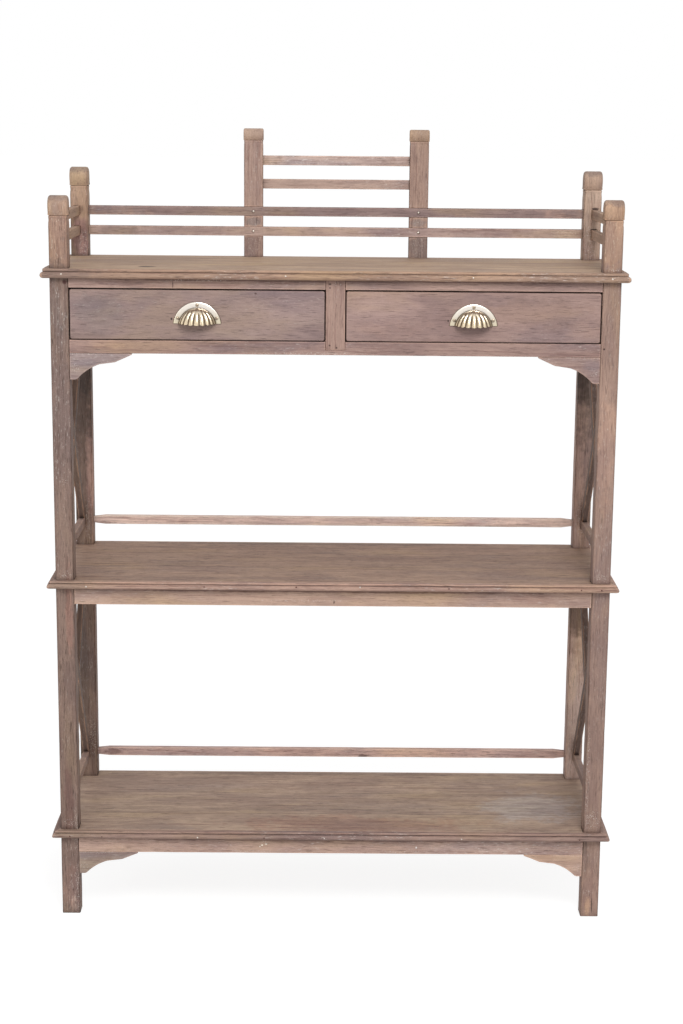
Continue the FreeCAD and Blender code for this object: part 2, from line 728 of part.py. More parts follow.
gallery_x = (f"-{housed_end_x}", housed_end_x)
long_rails = []
for z, nail_level in zip(gallery_zs, nail_levels):
    rail = box_body("long_gallery_rail", gallery_x, gallery_y, z, "y")
    for axis_x in (f"(-{crest_centre_x})", crest_centre_x):
        nail_hole(rail, axis_x, nail_level)
    long_rails.append(rail)
grouped("gallery_back_rails", long_rails)
for side in ("left", "right"):
    grouped(f"gallery_{side}_rails",
            [box_body(f"gallery_{side}_rail_{step}", handed(side, side_x), housed_y, z, "y")
             for step, z in enumerate(gallery_zs, start=1)])

crest_x = (f"({crest_centre_x} - Sizes.crest_post_width / 2)",
           f"({crest_centre_x} + Sizes.crest_post_width / 2)")
crest_top = "(Sizes.top_board_level + Sizes.crest_rise)"
crest_slat_top = f"({crest_top} - Sizes.crest_slat_drop)"
crest_slat_zs = [(f"({crest_slat_top} - Sizes.crest_slat_height - {step} * Sizes.crest_slat_spacing)",
                  f"({crest_slat_top} - {step} * Sizes.crest_slat_spacing)") for step in range(2)]
crest_slat_y = tenon_span(crest_y, "Sizes.crest_slat_thickness")

nails = []
for side in ("left", "right"):
    name = f"{side}_crest_post"
    body = new_body(name)
    x = handed(side, crest_x)
    crease_level = f"({crest_top} - Sizes.crest_head_height)"
    corners, arcs = head_outline(crest_y[0], "Sizes.crest_post_depth", crest_top,
                                 "Sizes.crest_head_height", "Sizes.crest_head_bulge",
                                 "Sizes.crest_head_notch")
    extrude(body, "x", grown(x, "Sizes.head_overhang"), corners, arcs)
    dress(body, "Chamfer", "Sizes.crest_post_ease", lambda edge: head_edge(edge, value(crease_level)))
    stick_z = ("Sizes.top_board_level", crease_level)
    extrude(body, "z", stick_z, eased_section(x, crest_y, "Sizes.crest_post_ease"))
    block(body, handed(side, crest_tenon_x), crest_tenon_y, crest_tenon_z)
    for z in gallery_zs:
        notch_y = (f"({gallery_y[0]} - Sizes.crest_head_bulge)", f"({gallery_y[1]} + Sizes.fit_gap)")
        block(body, grown(x, "Sizes.head_overhang"), notch_y, grown(z, "Sizes.fit_gap"), "y", cut=True)
    slat_x = (crest_x[0], f"({crest_x[0]} + Sizes.crest_slat_housing + Sizes.mortise_end_gap)")
    for z in crest_slat_zs:
        mortise(body, handed(side, slat_x), crest_slat_y, z, "x")
    axis_x = crest_centre_x if side == "right" else f"(-{crest_centre_x})"
    for nail_level in nail_levels:
        nail_hole(body, axis_x, nail_level)
        head = rod("nail_head", axis_x, nail_front, nail_level, "Sizes.nail_head_diameter / 2",
                   "Sizes.nail_head_thickness")
        shank = box_body("nail_shank", nail_span(axis_x), nail_y, nail_span(nail_level), "y")
        nails.append(combined("Part::Fuse", "gallery_nail", head, shank))
    node(body, name)
grouped("gallery_nails", nails)

slat_end_x = f"({crest_x[0]} + Sizes.crest_slat_housing)"
grouped("crest_slats", [box_body(f"crest_slat_{step}", (f"-{slat_end_x}", slat_end_x), crest_slat_y, z, "y")
                        for step, z in enumerate(crest_slat_zs, start=1)])

# Cup pulls: a half-round brass flange, screwed on, that carries a fluted half dome open below

flange_inner = "(Sizes.flange_radius - Sizes.flange_band)"
screw_ring = "(Sizes.flange_radius - Sizes.flange_band / 2)"
drawer_z = (f"({opening_low} + Sizes.drawer_bottom_gap)", f"({opening_high} - Sizes.drawer_top_gap)")
pull_base_z = f"((({drawer_z[0]}) + ({drawer_z[1]})) / 2 - Sizes.pull_drop)"
ring_centre_z = f"({pull_base_z} - Sizes.flange_sink)"
flange_y = (f"({front_y} - Sizes.flange_thickness)", front_y)


def ring_reach(radius):
    """How far a circle of the flange reaches sideways at the flange's straight lower edge."""
    return f"sqrt({radius} ^ 2 - Sizes.flange_sink ^ 2)"


def shell_solid(centre_x, inset):
    """The space inside a fluted half dome, drawn in by an inset all round.

    Its outline at the flange's lower edge is a half oval of lobes, which shrinks towards the middle
    of its back as it rises, so that every flat between two levels is plane.
    """
    sink = value("Sizes.flange_sink")
    bulge = value("Sizes.lobe_bulge")
    radius = value(flange_inner) + value("Sizes.shell_margin") - inset
    half_width = math.sqrt(radius ** 2 - sink ** 2)
    reach = value("Sizes.pull_projection") - inset - bulge
    back = Vector(value(centre_x), value(front_y), value(pull_base_z))
    rims = []
    for share in SHELL_LEVEL_SHARES:
        height = (radius - sink) * share
        shrink = math.sqrt(radius ** 2 - (sink + height) ** 2) / half_width
        rim = []
        for step in range(LOBES * LOBE_FLATS + 1):
            turn = math.pi * step / (LOBES * LOBE_FLATS)
            swell = bulge * abs(math.sin(LOBES * turn))
            across = shrink * (half_width + swell) * math.cos(turn)
            out = shrink * (reach + swell) * math.sin(turn)
            rim.append(back + Vector(across, -out, height))
        rims.append(rim)
    back_corners = [rim[0] for rim in rims] + [rim[-1] for rim in reversed(rims)]
    flats = [plane_face(corners) for corners in (rims[0], rims[-1], back_corners)]
    for low, high in zip(rims, rims[1:]):
        for step in range(LOBES * LOBE_FLATS):
            flats.append(plane_face([low[step], low[step + 1], high[step + 1], high[step]]))
    skin = Part.makeShell(flats)
    skin.sewShape()
    return Part.makeSolid(skin)


def plane_face(corners):
    return Part.Face(Part.makePolygon([*corners, corners[0]]))


def cup_pull(side, centre_x):
    """A pull's flange and shell as one casting, with its screw holes."""
    name = f"{side}_cup_pull"
    flange = new_body(f"{name}_flange")
    outer = ring_reach("Sizes.flange_radius")
    inner = ring_reach(flange_inner)
    corners = [(f"({centre_x} - {outer})", pull_base_z),
               (f"({centre_x} - {inner})", pull_base_z),
               (centre_x, f"({ring_centre_z} + {flange_inner})"),
               (f"({centre_x} + {inner})", pull_base_z),
               (f"({centre_x} + {outer})", pull_base_z),
               (centre_x, f"({ring_centre_z} + Sizes.flange_radius)")]
    arcs = {1: (flange_inner, -1), 2: (flange_inner, -1),
            4: ("Sizes.flange_radius", 1), 5: ("Sizes.flange_radius", 1)}
    extrude(flange, "y", flange_y, corners, arcs)
    drill(flange, flange_y, screw_centres(centre_x), "Sizes.screw_diameter / 2 + Sizes.fit_gap")
    shell = doc.addObject("Part::Feature", f"{name}_shell")
    shell.Shape = shell_solid(centre_x, 0).cut(shell_solid(centre_x, value("Sizes.shell_thickness")))
    node(combined("Part::Fuse", name, flange, shell), name)


def screw_centres(centre_x):
    """Where a pull's three screws stand, on the middle of its flange."""
    return [(f"({centre_x} + {screw_ring} * cos({turn}))", f"({ring_centre_z} + {screw_ring} * sin({turn}))")
            for turn in SCREW_ANGLES]


def pull_screws(side, centre_x):
    """Three screws, each a round head seated on the flange and a plain shank."""
    screws = []
    for axis_x, axis_z in screw_centres(centre_x):
        head = rod(f"{side}_screw_head", axis_x, f"({flange_y[0]} - Sizes.screw_head_thickness)", axis_z,
                   "Sizes.screw_head_diameter / 2", "Sizes.screw_head_thickness")
        shank = rod(f"{side}_screw_shank", axis_x, flange_y[0], axis_z, "Sizes.screw_diameter / 2",
                    "Sizes.screw_length")
        screws.append(combined("Part::Fuse", f"{side}_screw", head, shank))
    grouped(f"{side}_pull_screws", screws)


# Drawers: a front flush with the case, rebated over the sides, with a grooved-in bottom

box_low = f"({opening_low} + Sizes.running_gap)"
box_z = (box_low, f"({opening_high} - Sizes.drawer_box_headroom)")
drawer_front_y = (front_y, f"({front_y} + Sizes.drawer_front_thickness)")
drawer_end_y = f"({back_frame_y[0]} - Sizes.stop_gap)"
side_y = (f"({drawer_front_y[1]} - Sizes.drawer_rebate)", drawer_end_y)
bottom_low = f"({box_low} + Sizes.drawer_bottom_raise)"
bottom_z = (bottom_low, f"({bottom_low} + Sizes.drawer_bottom_thickness)")
drawer_back_y = (f"({drawer_end_y} - Sizes.drawer_back_inset - Sizes.drawer_side_thickness)",
                 f"({drawer_end_y} - Sizes.drawer_back_inset)")
right_drawer_x = (f"({divider_half} + Sizes.drawer_side_gap)", f"({inner_x} - Sizes.drawer_side_gap)")
near_side_x = (right_drawer_x[0], f"({right_drawer_x[0]} + Sizes.drawer_side_thickness)")
far_side_x = (f"({right_drawer_x[1]} - Sizes.drawer_side_thickness)", right_drawer_x[1])
grooved_x = (f"({near_side_x[1]} - Sizes.groove_depth)", f"({far_side_x[0]} + Sizes.groove_depth)")
inlet_x = (f"({grooved_x[0]} + Sizes.fit_gap)", f"({grooved_x[1]} - Sizes.fit_gap)")
grooved_y = (f"({drawer_front_y[1]} - Sizes.groove_depth)", drawer_end_y)
drawer_centre_x = f"((({right_drawer_x[0]}) + ({right_drawer_x[1]})) / 2)"


def drawer_front(side, centre_x):
    """The front: rounded corners, eased edges, rebates, a groove and the screws' pilot holes."""
    name = f"{side}_drawer_front"
    body = box_body(f"{name}_blank", handed(side, right_drawer_x), drawer_front_y, drawer_z, "y")
    dress(body, "Fillet", "Sizes.drawer_corner_radius", lambda edge: not flat(edge.BoundBox.YLength))
    front_level = value(front_y)
    dress(body, "Chamfer", "Sizes.drawer_ease", lambda edge: flat(edge.BoundBox.YMax - front_level))
    rebate_y = (f"({side_y[0]} - Sizes.fit_gap)", drawer_front_y[1])
    rebate_z = (drawer_z[0], f"({box_z[1]} + Sizes.fit_gap)")
    for rebate_x in ((near_side_x[0], f"({near_side_x[1]} + Sizes.fit_gap)"),
                     (f"({far_side_x[0]} - Sizes.fit_gap)", far_side_x[1])):
        block(body, handed(side, rebate_x), rebate_y, rebate_z, "y", cut=True)
    groove_x = handed(side, (near_side_x[1], far_side_x[0]))
    groove_y = (f"({grooved_y[0]} - Sizes.fit_gap)", drawer_front_y[1])
    block(body, groove_x, groove_y, grown(bottom_z, "Sizes.fit_gap"), "y", cut=True)
    pilots = [rod(f"{name}_pilot", axis_x, front_y, axis_z, "Sizes.screw_diameter / 2 + Sizes.pilot_gap",
                  "Sizes.screw_length") for axis_x, axis_z in screw_centres(centre_x)]
    node(combined("Part::Cut", name, body, compound(f"{name}_pilots", pilots)), name)


def drawer(side):
    """One drawer with its pull."""
    centre_x = drawer_centre_x if side == "right" else f"-{drawer_centre_x}"
    drawer_front(side, centre_x)
    sides = []
    for place, x, groove_x in (("inner", near_side_x, (grooved_x[0], near_side_x[1])),
                               ("outer", far_side_x, (far_side_x[0], grooved_x[1]))):
        body = box_body(f"{side}_drawer_{place}_side", handed(side, x), side_y, box_z, "x")
        block(body, handed(side, groove_x), side_y, grown(bottom_z, "Sizes.fit_gap"), "x", cut=True)
        block(body, handed(side, groove_x), grown(drawer_back_y, "Sizes.fit_gap"),
              (bottom_z[1], box_z[1]), "x", cut=True)
        sides.append(body)
    grouped(f"{side}_drawer_sides", sides)
    back_z = (f"({bottom_z[1]} + Sizes.fit_gap)", box_z[1])
    node(box_body(f"{side}_drawer_back", handed(side, inlet_x), drawer_back_y, back_z, "y"),
         f"{side}_drawer_back")
    node(box_body(f"{side}_drawer_bottom", handed(side, inlet_x), grooved_y, bottom_z),
         f"{side}_drawer_bottom")
    cup_pull(side, centre_x)
    pull_screws(side, centre_x)


for side in ("left", "right"):
    drawer(side)

# Check every object, then write one file for each sub-part

doc.recompute()
failed = [item.Label for item in doc.Objects if "Invalid" in item.State or "Error" in item.State]
assert not failed, f"failed objects: {failed}"
for item in doc.Objects:
    if item.TypeId == "PartDesign::Pocket":
        assert item.Shape.Volume < item.BaseFeature.Shape.Volume, f"{item.Label} cuts nothing"

os.makedirs("parts", exist_ok=True)
for piece in nodes:
    shape = piece.Shape
    assert not shape.isNull() and shape.isValid() and shape.Solids, f"{piece.Label} has no valid solid"
    shape.exportStep(f"parts/{piece.Label}.step")
print(len(nodes), "sub-parts,", sum(len(piece.Shape.Solids) for piece in nodes), "solids")
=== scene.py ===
# A shelf unit with two drawers, in weathered teak with traces of lime, and fluted brass cup pulls.
# Sizes and places are the real ones in millimetres, and MM turns them into metres.
import math

import bmesh
import bpy
from mathutils import Matrix, Vector, noise


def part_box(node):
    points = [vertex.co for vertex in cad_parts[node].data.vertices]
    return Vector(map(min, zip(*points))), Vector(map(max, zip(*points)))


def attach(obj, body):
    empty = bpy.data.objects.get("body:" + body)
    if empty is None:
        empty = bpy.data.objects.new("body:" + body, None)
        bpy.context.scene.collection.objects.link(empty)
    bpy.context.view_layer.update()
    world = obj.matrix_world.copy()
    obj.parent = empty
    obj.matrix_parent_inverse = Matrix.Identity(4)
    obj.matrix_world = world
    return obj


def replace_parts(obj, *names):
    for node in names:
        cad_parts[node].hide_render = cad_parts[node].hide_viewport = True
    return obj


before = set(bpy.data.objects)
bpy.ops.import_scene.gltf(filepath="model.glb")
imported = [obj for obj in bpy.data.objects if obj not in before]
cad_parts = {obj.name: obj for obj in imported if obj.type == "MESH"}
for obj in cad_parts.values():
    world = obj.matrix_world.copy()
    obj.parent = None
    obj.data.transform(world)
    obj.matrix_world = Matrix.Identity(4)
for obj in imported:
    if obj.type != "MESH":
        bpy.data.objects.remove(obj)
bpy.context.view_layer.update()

# Corner posts: square teak sticks, each with a scroll head cut from the same stick over a crease.
# The aprons and rails are tenoned into them. Handling has rubbed the arrises round, and the faces
# have weathered to brown, mauve and grey, with lime left in the pores, and dirt and painted shade in
# the joints.

MM = 0.001
HALF_WIDTH = 550
FRONT = -167.5
BACK = 192.5
POST_SIDE = 36
POST_MIDDLE = 700
FRONT_TOP = 1456
BACK_TOP = 1500
TONE_CHANGE = 1312
HEAD_HEIGHT = 38
HEAD_OVERHANG = 1


class Signal:
    """An output of a node. Arithmetic on signals adds Math nodes."""

    def __init__(self, tree, socket=None):
        self.tree = tree
        self.socket = socket

    def add(self, kind, settings, inputs, output=0):
        """Any node: its settings first, then its sockets' values or links."""
        node = self.tree.nodes.new(kind)
        for name, setting in settings.items():
            setattr(node, name, setting)
        for name, given in inputs.items():
            if isinstance(given, Signal):
                given.feed(node, name)
            else:
                node.inputs[name].default_value = given
        return Signal(self.tree, node.outputs[output])

    def feed(self, node, name):
        """Link this signal to a socket of a node."""
        self.tree.links.new(self.socket, node.inputs[name])

    def math(self, operation, *others):
        return self.add("ShaderNodeMath", {"operation": operation}, dict(enumerate([self, *others])))

    def __add__(self, other):
        return self.math("ADD", other)

    __radd__ = __add__

    def __sub__(self, other):
        return self.math("SUBTRACT", other)

    def __rsub__(self, other):
        return (self * -1) + other

    def __mul__(self, other):
        return self.math("MULTIPLY", other)

    __rmul__ = __mul__

    def vector(self, operation, *others, output="Vector"):
        """Vector arithmetic, on places, directions and colours."""
        inputs = dict(enumerate([self, *others]))
        return self.add("ShaderNodeVectorMath", {"operation": operation}, inputs, output)

    def part(self, axis):
        """One coordinate of a place."""
        return self.add("ShaderNodeSeparateXYZ", {}, {0: self}, axis)

    def share(self, low, high):
        """0 below one level, 1 above another, and smooth between them."""
        inputs = {"Value": self, "From Min": low, "From Max": high}
        return self.add("ShaderNodeMapRange", {"interpolation_type": "SMOOTHSTEP"}, inputs)

    def scaled(self, along, across):
        """A place times one number along X, and times another along Y and Z."""
        return self.vector("MULTIPLY", (along, across, across))

    def clouds(self, detail=2.0, roughness=0.5, distortion=0.0):
        """Noise at a place, as one number."""
        inputs = {"Vector": self, "Scale": 1.0, "Detail": detail, "Roughness": roughness,
                  "Distortion": distortion}
        return self.add("ShaderNodeTexNoise", {}, inputs, "Fac")

    def swirls(self, detail=2.0, scale=1.0):
        """Noise at a place, as a vector."""
        return self.add("ShaderNodeTexNoise", {}, {"Vector": self, "Scale": scale, "Detail": detail}, "Color")

    def near(self, middle, size, frays=()):
        """1 round a point, falling to 0 at the rim of an oval of this half size, in millimetres.

        Frays are noises, as vectors round 0, that make the rim uneven.
        """
        away = self.vector("SUBTRACT", Vector(middle) * MM).vector("DIVIDE", Vector(size) * MM)
        for fray in frays:
            away = away.vector("ADD", fray)
        return away.vector("LENGTH", output="Value").share(1.0, 0.5)

    def mixed(self, first, second):
        """Two colours mixed by this signal."""
        return self.add("ShaderNodeMix", {"data_type": "RGBA"}, {0: self, 6: first, 7: second}, 2)


def paint(red, green, blue):
    """A colour as the eye sees it, from 0 to 255, in the light values that a shader takes."""
    channels = [min(level, 255) / 255 for level in (red, green, blue)]
    return (*[c / 12.92 if c <= 0.04045 else ((c + 0.055) / 1.055) ** 2.4 for c in channels], 1.0)


def tinted(tone, shares):
    """A tone with each of its channels changed by a share."""
    return paint(*[level * share for level, share in zip(tone, shares)])


def grain_space(place, centre, grain, seed):
    """A place as the log had it: X runs with the fibres, and the heart lies beside the piece."""
    turn = Vector(grain).rotation_difference(Vector((1, 0, 0)))
    heart = Vector((0.31 * seed, 0.035 + 0.02 * math.sin(5 * seed), 0.05 + 0.03 * math.cos(3 * seed)))
    shift = heart - turn @ Vector(centre)
    return place.add("ShaderNodeMapping", {"vector_type": "POINT"},
                     {"Vector": place, "Rotation": turn.to_euler(), "Location": shift})


PLANK_STEP = (0.43, 0.012, 0.021)
PLANK_SHADES = (-0.06, 0.05)
SEAM_REACH = 1.1
SEAM_CORE = 0.4


def glued_up(place, local, planks):
    """Planks from other places of the log: their grain, their shades and the seams between them."""
    shade = 1.0
    seams = []
    for index, seam in enumerate(planks):
        across = place.part("Y")
        beyond = across.math("GREATER_THAN", seam * MM)
        local = beyond.vector("MULTIPLY_ADD", PLANK_STEP, local)
        shade = shade + beyond * PLANK_SHADES[index % 2]
        seams.append((across - seam * MM).math("ABSOLUTE").share(SEAM_REACH * MM, SEAM_CORE * MM))
    return local, shade, seams


DULL = (0.92, 0.91, 0.92)
CLEAR = (1.06, 1.06, 1.05)
WARM = (1.07, 1.07, 0.98)
MAUVE = (0.87, 0.88, 0.93)
STREAK = (0.74, 0.66, 0.66)
PORE = (0.4, 0.35, 0.33)
DIRT_AND_SHADE = (0.34, 0.29, 0.27)
SEAM = (0.45, 0.40, 0.38)
ARRIS_GAIN = (0.47, 0.43, 0.37)
LIME = paint(222, 213, 205)


def weathered(place, local, tone, shade, cloud, streak, coarse, lime):
    """Bare teak that stood out of doors: its colour, its roughness and its relief."""
    bent = local.scaled(1.6, 7).swirls().vector("MULTIPLY_ADD", (0.0, 0.022, 0.022), local)
    bent = local.scaled(14, 26).swirls().vector("MULTIPLY_ADD", (0.0, 0.005, 0.005), bent)
    radius = bent.scaled(0, 1).vector("LENGTH", output="Value")
    rings = radius.add("ShaderNodeTexNoise", {"noise_dimensions": "1D"},
                       {"W": radius * 330, "Scale": 1.0, "Detail": 2.0}, "Fac")
    fibres = bent.scaled(24, 420).clouds(4.0, 0.7)
    grit = place.scaled(560, 560).clouds(2.0, 0.7)
    pores = bent.scaled(40, 760).clouds(1.0).share(0.4, 0.3)
    mottle = local.scaled(5, 18).clouds(4.0, 0.65, 0.4)
    patches = local.scaled(2.6, 9).clouds(3.0, 0.6, 0.6)
    warmth = local.scaled(3.1, 12).vector("ADD", (5.0, 3.0, 1.0)).clouds(3.0, 0.6)
    streaks = bent.scaled(5, 230).clouds(3.0, 0.65)
    limed = bent.scaled(80, 330).clouds(4.0, 0.75).share(0.55, 0.7) * patches.share(0.42, 0.6)
    colour = mottle.share(0.36, 0.64).mixed(tinted(tone, DULL), tinted(tone, CLEAR))
    colour = (warmth.share(0.5, 0.7) * 0.7 * cloud).mixed(colour, tinted(tone, WARM))
    colour = (patches.share(0.5, 0.68) * 0.7 * cloud).mixed(colour, tinted(tone, MAUVE))
    colour = (streaks.share(0.52, 0.68) * 0.55 * streak).mixed(colour, tinted(tone, STREAK))
    shade = shade + (fibres - 0.5) * 0.55 * coarse + (rings - 0.5) * 0.26 * streak
    shade = shade + (grit - 0.5) * 0.4 * coarse
    colour = colour.add("ShaderNodeVectorMath", {"operation": "SCALE"}, {0: colour, "Scale": shade})
    colour = (pores * 0.4 * coarse).mixed(colour, tinted(tone, PORE))
    colour = (limed * lime).mixed(colour, LIME)
    rough = 0.6 + fibres * 0.2 + limed * 0.15
    relief = fibres * 0.6 + rings * 0.3 + grit * 0.3 - pores * 0.5
    return colour, rough, relief


def worn_pale(colour, local, tone, edges):
    """Arrises that handling has rubbed pale, more in some places than in others."""
    thickness = colour.add("ShaderNodeAmbientOcclusion", {"samples": 6, "inside": True, "only_local": True},
                           {"Distance": 3.5 * MM}, "AO")
    rubbed_by = local.scaled(30, 90).clouds(3.0).share(0.3, 0.55) * min(1.0, edges)
    pale = tinted(tone, [1 + gain * edges for gain in ARRIS_GAIN])
    return (thickness.share(0.9, 0.62) * rubbed_by).mixed(colour, pale)


def soiled_and_shaded(colour, tone, seams):
    """Dirt and painted shade in the corners where pieces meet, and dirt in the seams between planks."""
    # Occlusion darkens corners and gaps: partly dirt, partly painted shade.
    crevice_dirt_and_shade = colour.add("ShaderNodeAmbientOcclusion", {"samples": 6}, {"Distance": 14 * MM}, "AO")
    colour = (crevice_dirt_and_shade.share(0.75, 0.3) * 0.75).mixed(colour, tinted(tone, DIRT_AND_SHADE))
    for seam in seams:
        colour = (seam * 0.6).mixed(colour, tinted(tone, SEAM))
    return colour


FRAYS = ((420, 0.9), (90, 0.9), (18, 1.3))
SHARP_UNDER = 4
FINE_UNDER = 40


def marked(colour, place, tone, marks, specks):
    """Stains and holes, and crumbs of plaster. The rims of all but the smallest marks are frayed."""
    frays = []
    for scale, reach in FRAYS if marks else ():
        swirl = place.swirls(3.0, scale).vector("SUBTRACT", (0.5, 0.5, 0.5))
        frays.append(swirl.vector("MULTIPLY", (reach, reach, reach)))
    for middle, size, stain, strength in marks:
        change = [wanted / own for wanted, own in zip(paint(*stain)[:3], paint(*tone)[:3])]
        width = max(size[0], size[2])
        if width < SHARP_UNDER:
            rim = ()
        elif width < FINE_UNDER:
            rim = frays[:2]
        else:
            rim = frays[1:]
        colour = (place.near(middle, size, rim) * strength).mixed(colour, colour.vector("MULTIPLY", change))
    for middle, size in specks:
        crumbs = place.scaled(540, 540).clouds(3.0, 0.7).share(0.55, 0.68)
        colour = (crumbs * place.near(middle, size) * 0.75).mixed(colour, LIME)
    return colour


def teak(name, centre, grain, tone, seed, cloud=1.0, streak=1.0, coarse=1.0, lime=0.3, edges=0.6, planks=(),
         marks=(), specks=()):
    """Weathered teak, whose fibres run along one direction.

    Cloud, streak, coarse and lime say how strong its patches, dark streaks, pores and lime are, and edges
    how pale its arrises are. Planks are the places of seams. A mark is a stain or a hole, with its middle,
    half size, colour and strength. A speck is the middle and half size of an oval with white crumbs.
    """
    material = bpy.data.materials.new(name)
    material.use_nodes = True
    surface = material.node_tree.nodes["Principled BSDF"]
    place = Signal(material.node_tree).add("ShaderNodeTexCoord", {}, {}, "Object")
    local, shade, seams = glued_up(place, grain_space(place, centre, grain, seed), planks)
    colour, rough, relief = weathered(place, local, tone, shade, cloud, streak, coarse, lime)
    colour = worn_pale(colour, local, tone, edges)
    colour = soiled_and_shaded(colour, tone, seams)
    colour = marked(colour, place, tone, marks, specks)
    eased = place.add("ShaderNodeBevel", {"samples": 4}, {"Radius": 1.5 * MM})
    bump = place.add("ShaderNodeBump", {},
                     {"Strength": 0.8, "Distance": 0.4 * MM, "Height": relief, "Normal": eased})
    colour.feed(surface, "Base Color")
    rough.feed(surface, "Roughness")
    bump.feed(surface, "Normal")
    surface.inputs["Specular IOR Level"].default_value = 0.3
    return material


def placed(name, data):
    """A new object in the scene."""
    item = bpy.data.objects.new(name, data)
    bpy.context.scene.collection.objects.link(item)
    return item


def fitted(name, shape, material, body="root", smooth=None):
    """A finished mesh as a piece that rides on a body. Edges below the smooth angle don't show."""
    mesh = bpy.data.meshes.new(name)
    shape.to_mesh(mesh)
    shape.free()
    if smooth is not None:
        mesh.shade_smooth()
        mesh.set_sharp_from_angle(angle=math.radians(smooth))
    mesh.materials.append(material)
    piece = placed(name, mesh)
    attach(piece, body)
    return piece


def sawn(name):
    """A copy of a sawn solid, its flat faces whole."""
    shape = bmesh.new()
    shape.from_mesh(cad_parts[name].data)
    bmesh.ops.remove_doubles(shape, verts=shape.verts, dist=0.02 * MM)
    bmesh.ops.dissolve_limit(shape, angle_limit=math.radians(1.5), verts=shape.verts, edges=shape.edges)
    return shape


def cut_across(shape, axis, level):
    """Cut every face where it crosses a level."""
    place = Vector((0, 0, 0))
    place[axis] = level
    along = Vector((0, 0, 0))
    along[axis] = 1
    everything = [*shape.verts, *shape.edges, *shape.faces]
    bmesh.ops.bisect_plane(shape, geom=everything, plane_co=place, plane_no=along)


ARRIS_ANGLE = math.radians(28)
DRIFT_RATE = 16
CHIP_RATE = 75


def rubbed(shape, ease, wander, every, seed):
    """Round the arrises, and let edges and faces wander as hand work and wear leave them.

    Ease is the round's size, wander about how deep the wear goes, and every the step between its cuts.
    """
    arrises = [edge for edge in shape.edges
               if len(edge.link_faces) == 2 and edge.calc_face_angle() > ARRIS_ANGLE]
    bmesh.ops.bevel(shape, geom=arrises, offset=ease * MM, offset_type="OFFSET", segments=2, profile=0.5,
                    affect="EDGES", clamp_overlap=True)
    low = [min(vert.co[axis] for vert in shape.verts) for axis in range(3)]
    high = [max(vert.co[axis] for vert in shape.verts) for axis in range(3)]
    axis = max(range(3), key=lambda index: high[index] - low[index])
    cuts = max(2, round((high[axis] - low[axis]) / (every * MM)))
    for step in range(1, cuts):
        cut_across(shape, axis, low[axis] + (high[axis] - low[axis]) * step / cuts)
    shape.normal_update()
    for vert in shape.verts:
        drift = noise.noise(vert.co * DRIFT_RATE + Vector((7 * seed, 0, 0)))
        chip = max(0.0, noise.noise(vert.co * CHIP_RATE + Vector((0, 5 * seed, 0))) - 0.3)
        vert.co -= vert.normal * (0.5 + 0.5 * drift + 2.5 * chip) * wander * MM
        vert.co = [min(max(vert.co[axis], low[axis]), high[axis]) for axis in range(3)]
    return shape


def lofted(shape, sections):
    """Skin a row of closed outlines and close both ends."""
    loops = [[shape.verts.new(point) for point in section] for section in sections]
    count = len(loops[0])
    made = []
    for near, far in zip(loops, loops[1:]):
        for index in range(count):
            after = (index + 1) % count
            made.append(shape.faces.new((near[index], near[after], far[after], far[index])))
    made.append(shape.faces.new(list(reversed(loops[0]))))
    made.append(shape.faces.new(loops[-1]))
    bmesh.ops.recalc_face_normals(shape, faces=made)


FALL_STEPS = 6
ROLL_STEPS = 18
END_STEPS = 5
HEEL = 0.8


def scroll_outline(front, depth, top, height, bulge, notch):
    """A scroll head from the side: a hollow rises to a roll, over a straight back with an eased heel."""
    roll = (depth + bulge) / 2
    nose = front - bulge
    fall = height - roll
    reach = bulge + notch
    hollow = (fall ** 2 + reach ** 2) / (2 * reach)
    outline = []
    for step in range(FALL_STEPS + 1):
        drop = fall * (1 - step / FALL_STEPS)
        outline.append((nose + hollow - math.sqrt(hollow ** 2 - drop ** 2), top - roll - drop))
    for step in range(1, ROLL_STEPS + 1):
        turn = math.pi * step / ROLL_STEPS
        outline.append((nose + roll - roll * math.cos(turn), top - roll + roll * math.sin(turn)))
    outline.append((front + depth, top - roll - fall / 2))
    outline.append((front + depth, top - height + HEEL))
    outline.append((front + depth - HEEL, top - height))
    outline.append((front + depth / 2, top - height))
    return outline


def scroll_head(shape, middle, half, front, depth, top, height, bulge, notch, ends):
    """A roll over the top of a stick, drawn in under its front, with rounded ends."""
    outline = scroll_outline(front, depth, top, height, bulge, notch)
    centre = Vector((sum(y for y, _ in outline), sum(z for _, z in outline))) / len(outline)
    inward = []
    for index, point in enumerate(outline):
        along = Vector(outline[(index + 1) % len(outline)]) - Vector(outline[index - 1])
        across = Vector((along.y, -along.x)).normalized()
        inward.append(across if across.dot(centre - Vector(point)) > 0 else -across)
    sections = []
    for end in (-1, 1):
        turns = [math.pi / 2 * step / END_STEPS for step in range(END_STEPS + 1)]
        for turn in turns if end < 0 else reversed(turns):
            inset = ends * (1 - math.sin(turn))
            station = middle + end * (half - ends * (1 - math.cos(turn)))
            section = []
            for (y, z), across in zip(outline, inward):
                up = 0.3 if z < top - height + 1 else 1.0
                section.append(Vector((station, y + across.x * inset, z + across.y * inset * up)) * MM)
            sections.append(section)
    lofted(shape, sections)


def headless(name, crease, ease, wander, seed):
    """A worn copy of a post, cut off at its crease."""
    shape = sawn(name)
    everything = [*shape.verts, *shape.edges, *shape.faces]
    bmesh.ops.bisect_plane(shape, geom=everything, plane_co=(0, 0, crease * MM), plane_no=(0, 0, 1),
                           clear_outer=True)
    bmesh.ops.edgeloop_fill(shape, edges=[edge for edge in shape.edges if edge.is_boundary])
    return rubbed(shape, ease, wander, 18, seed)


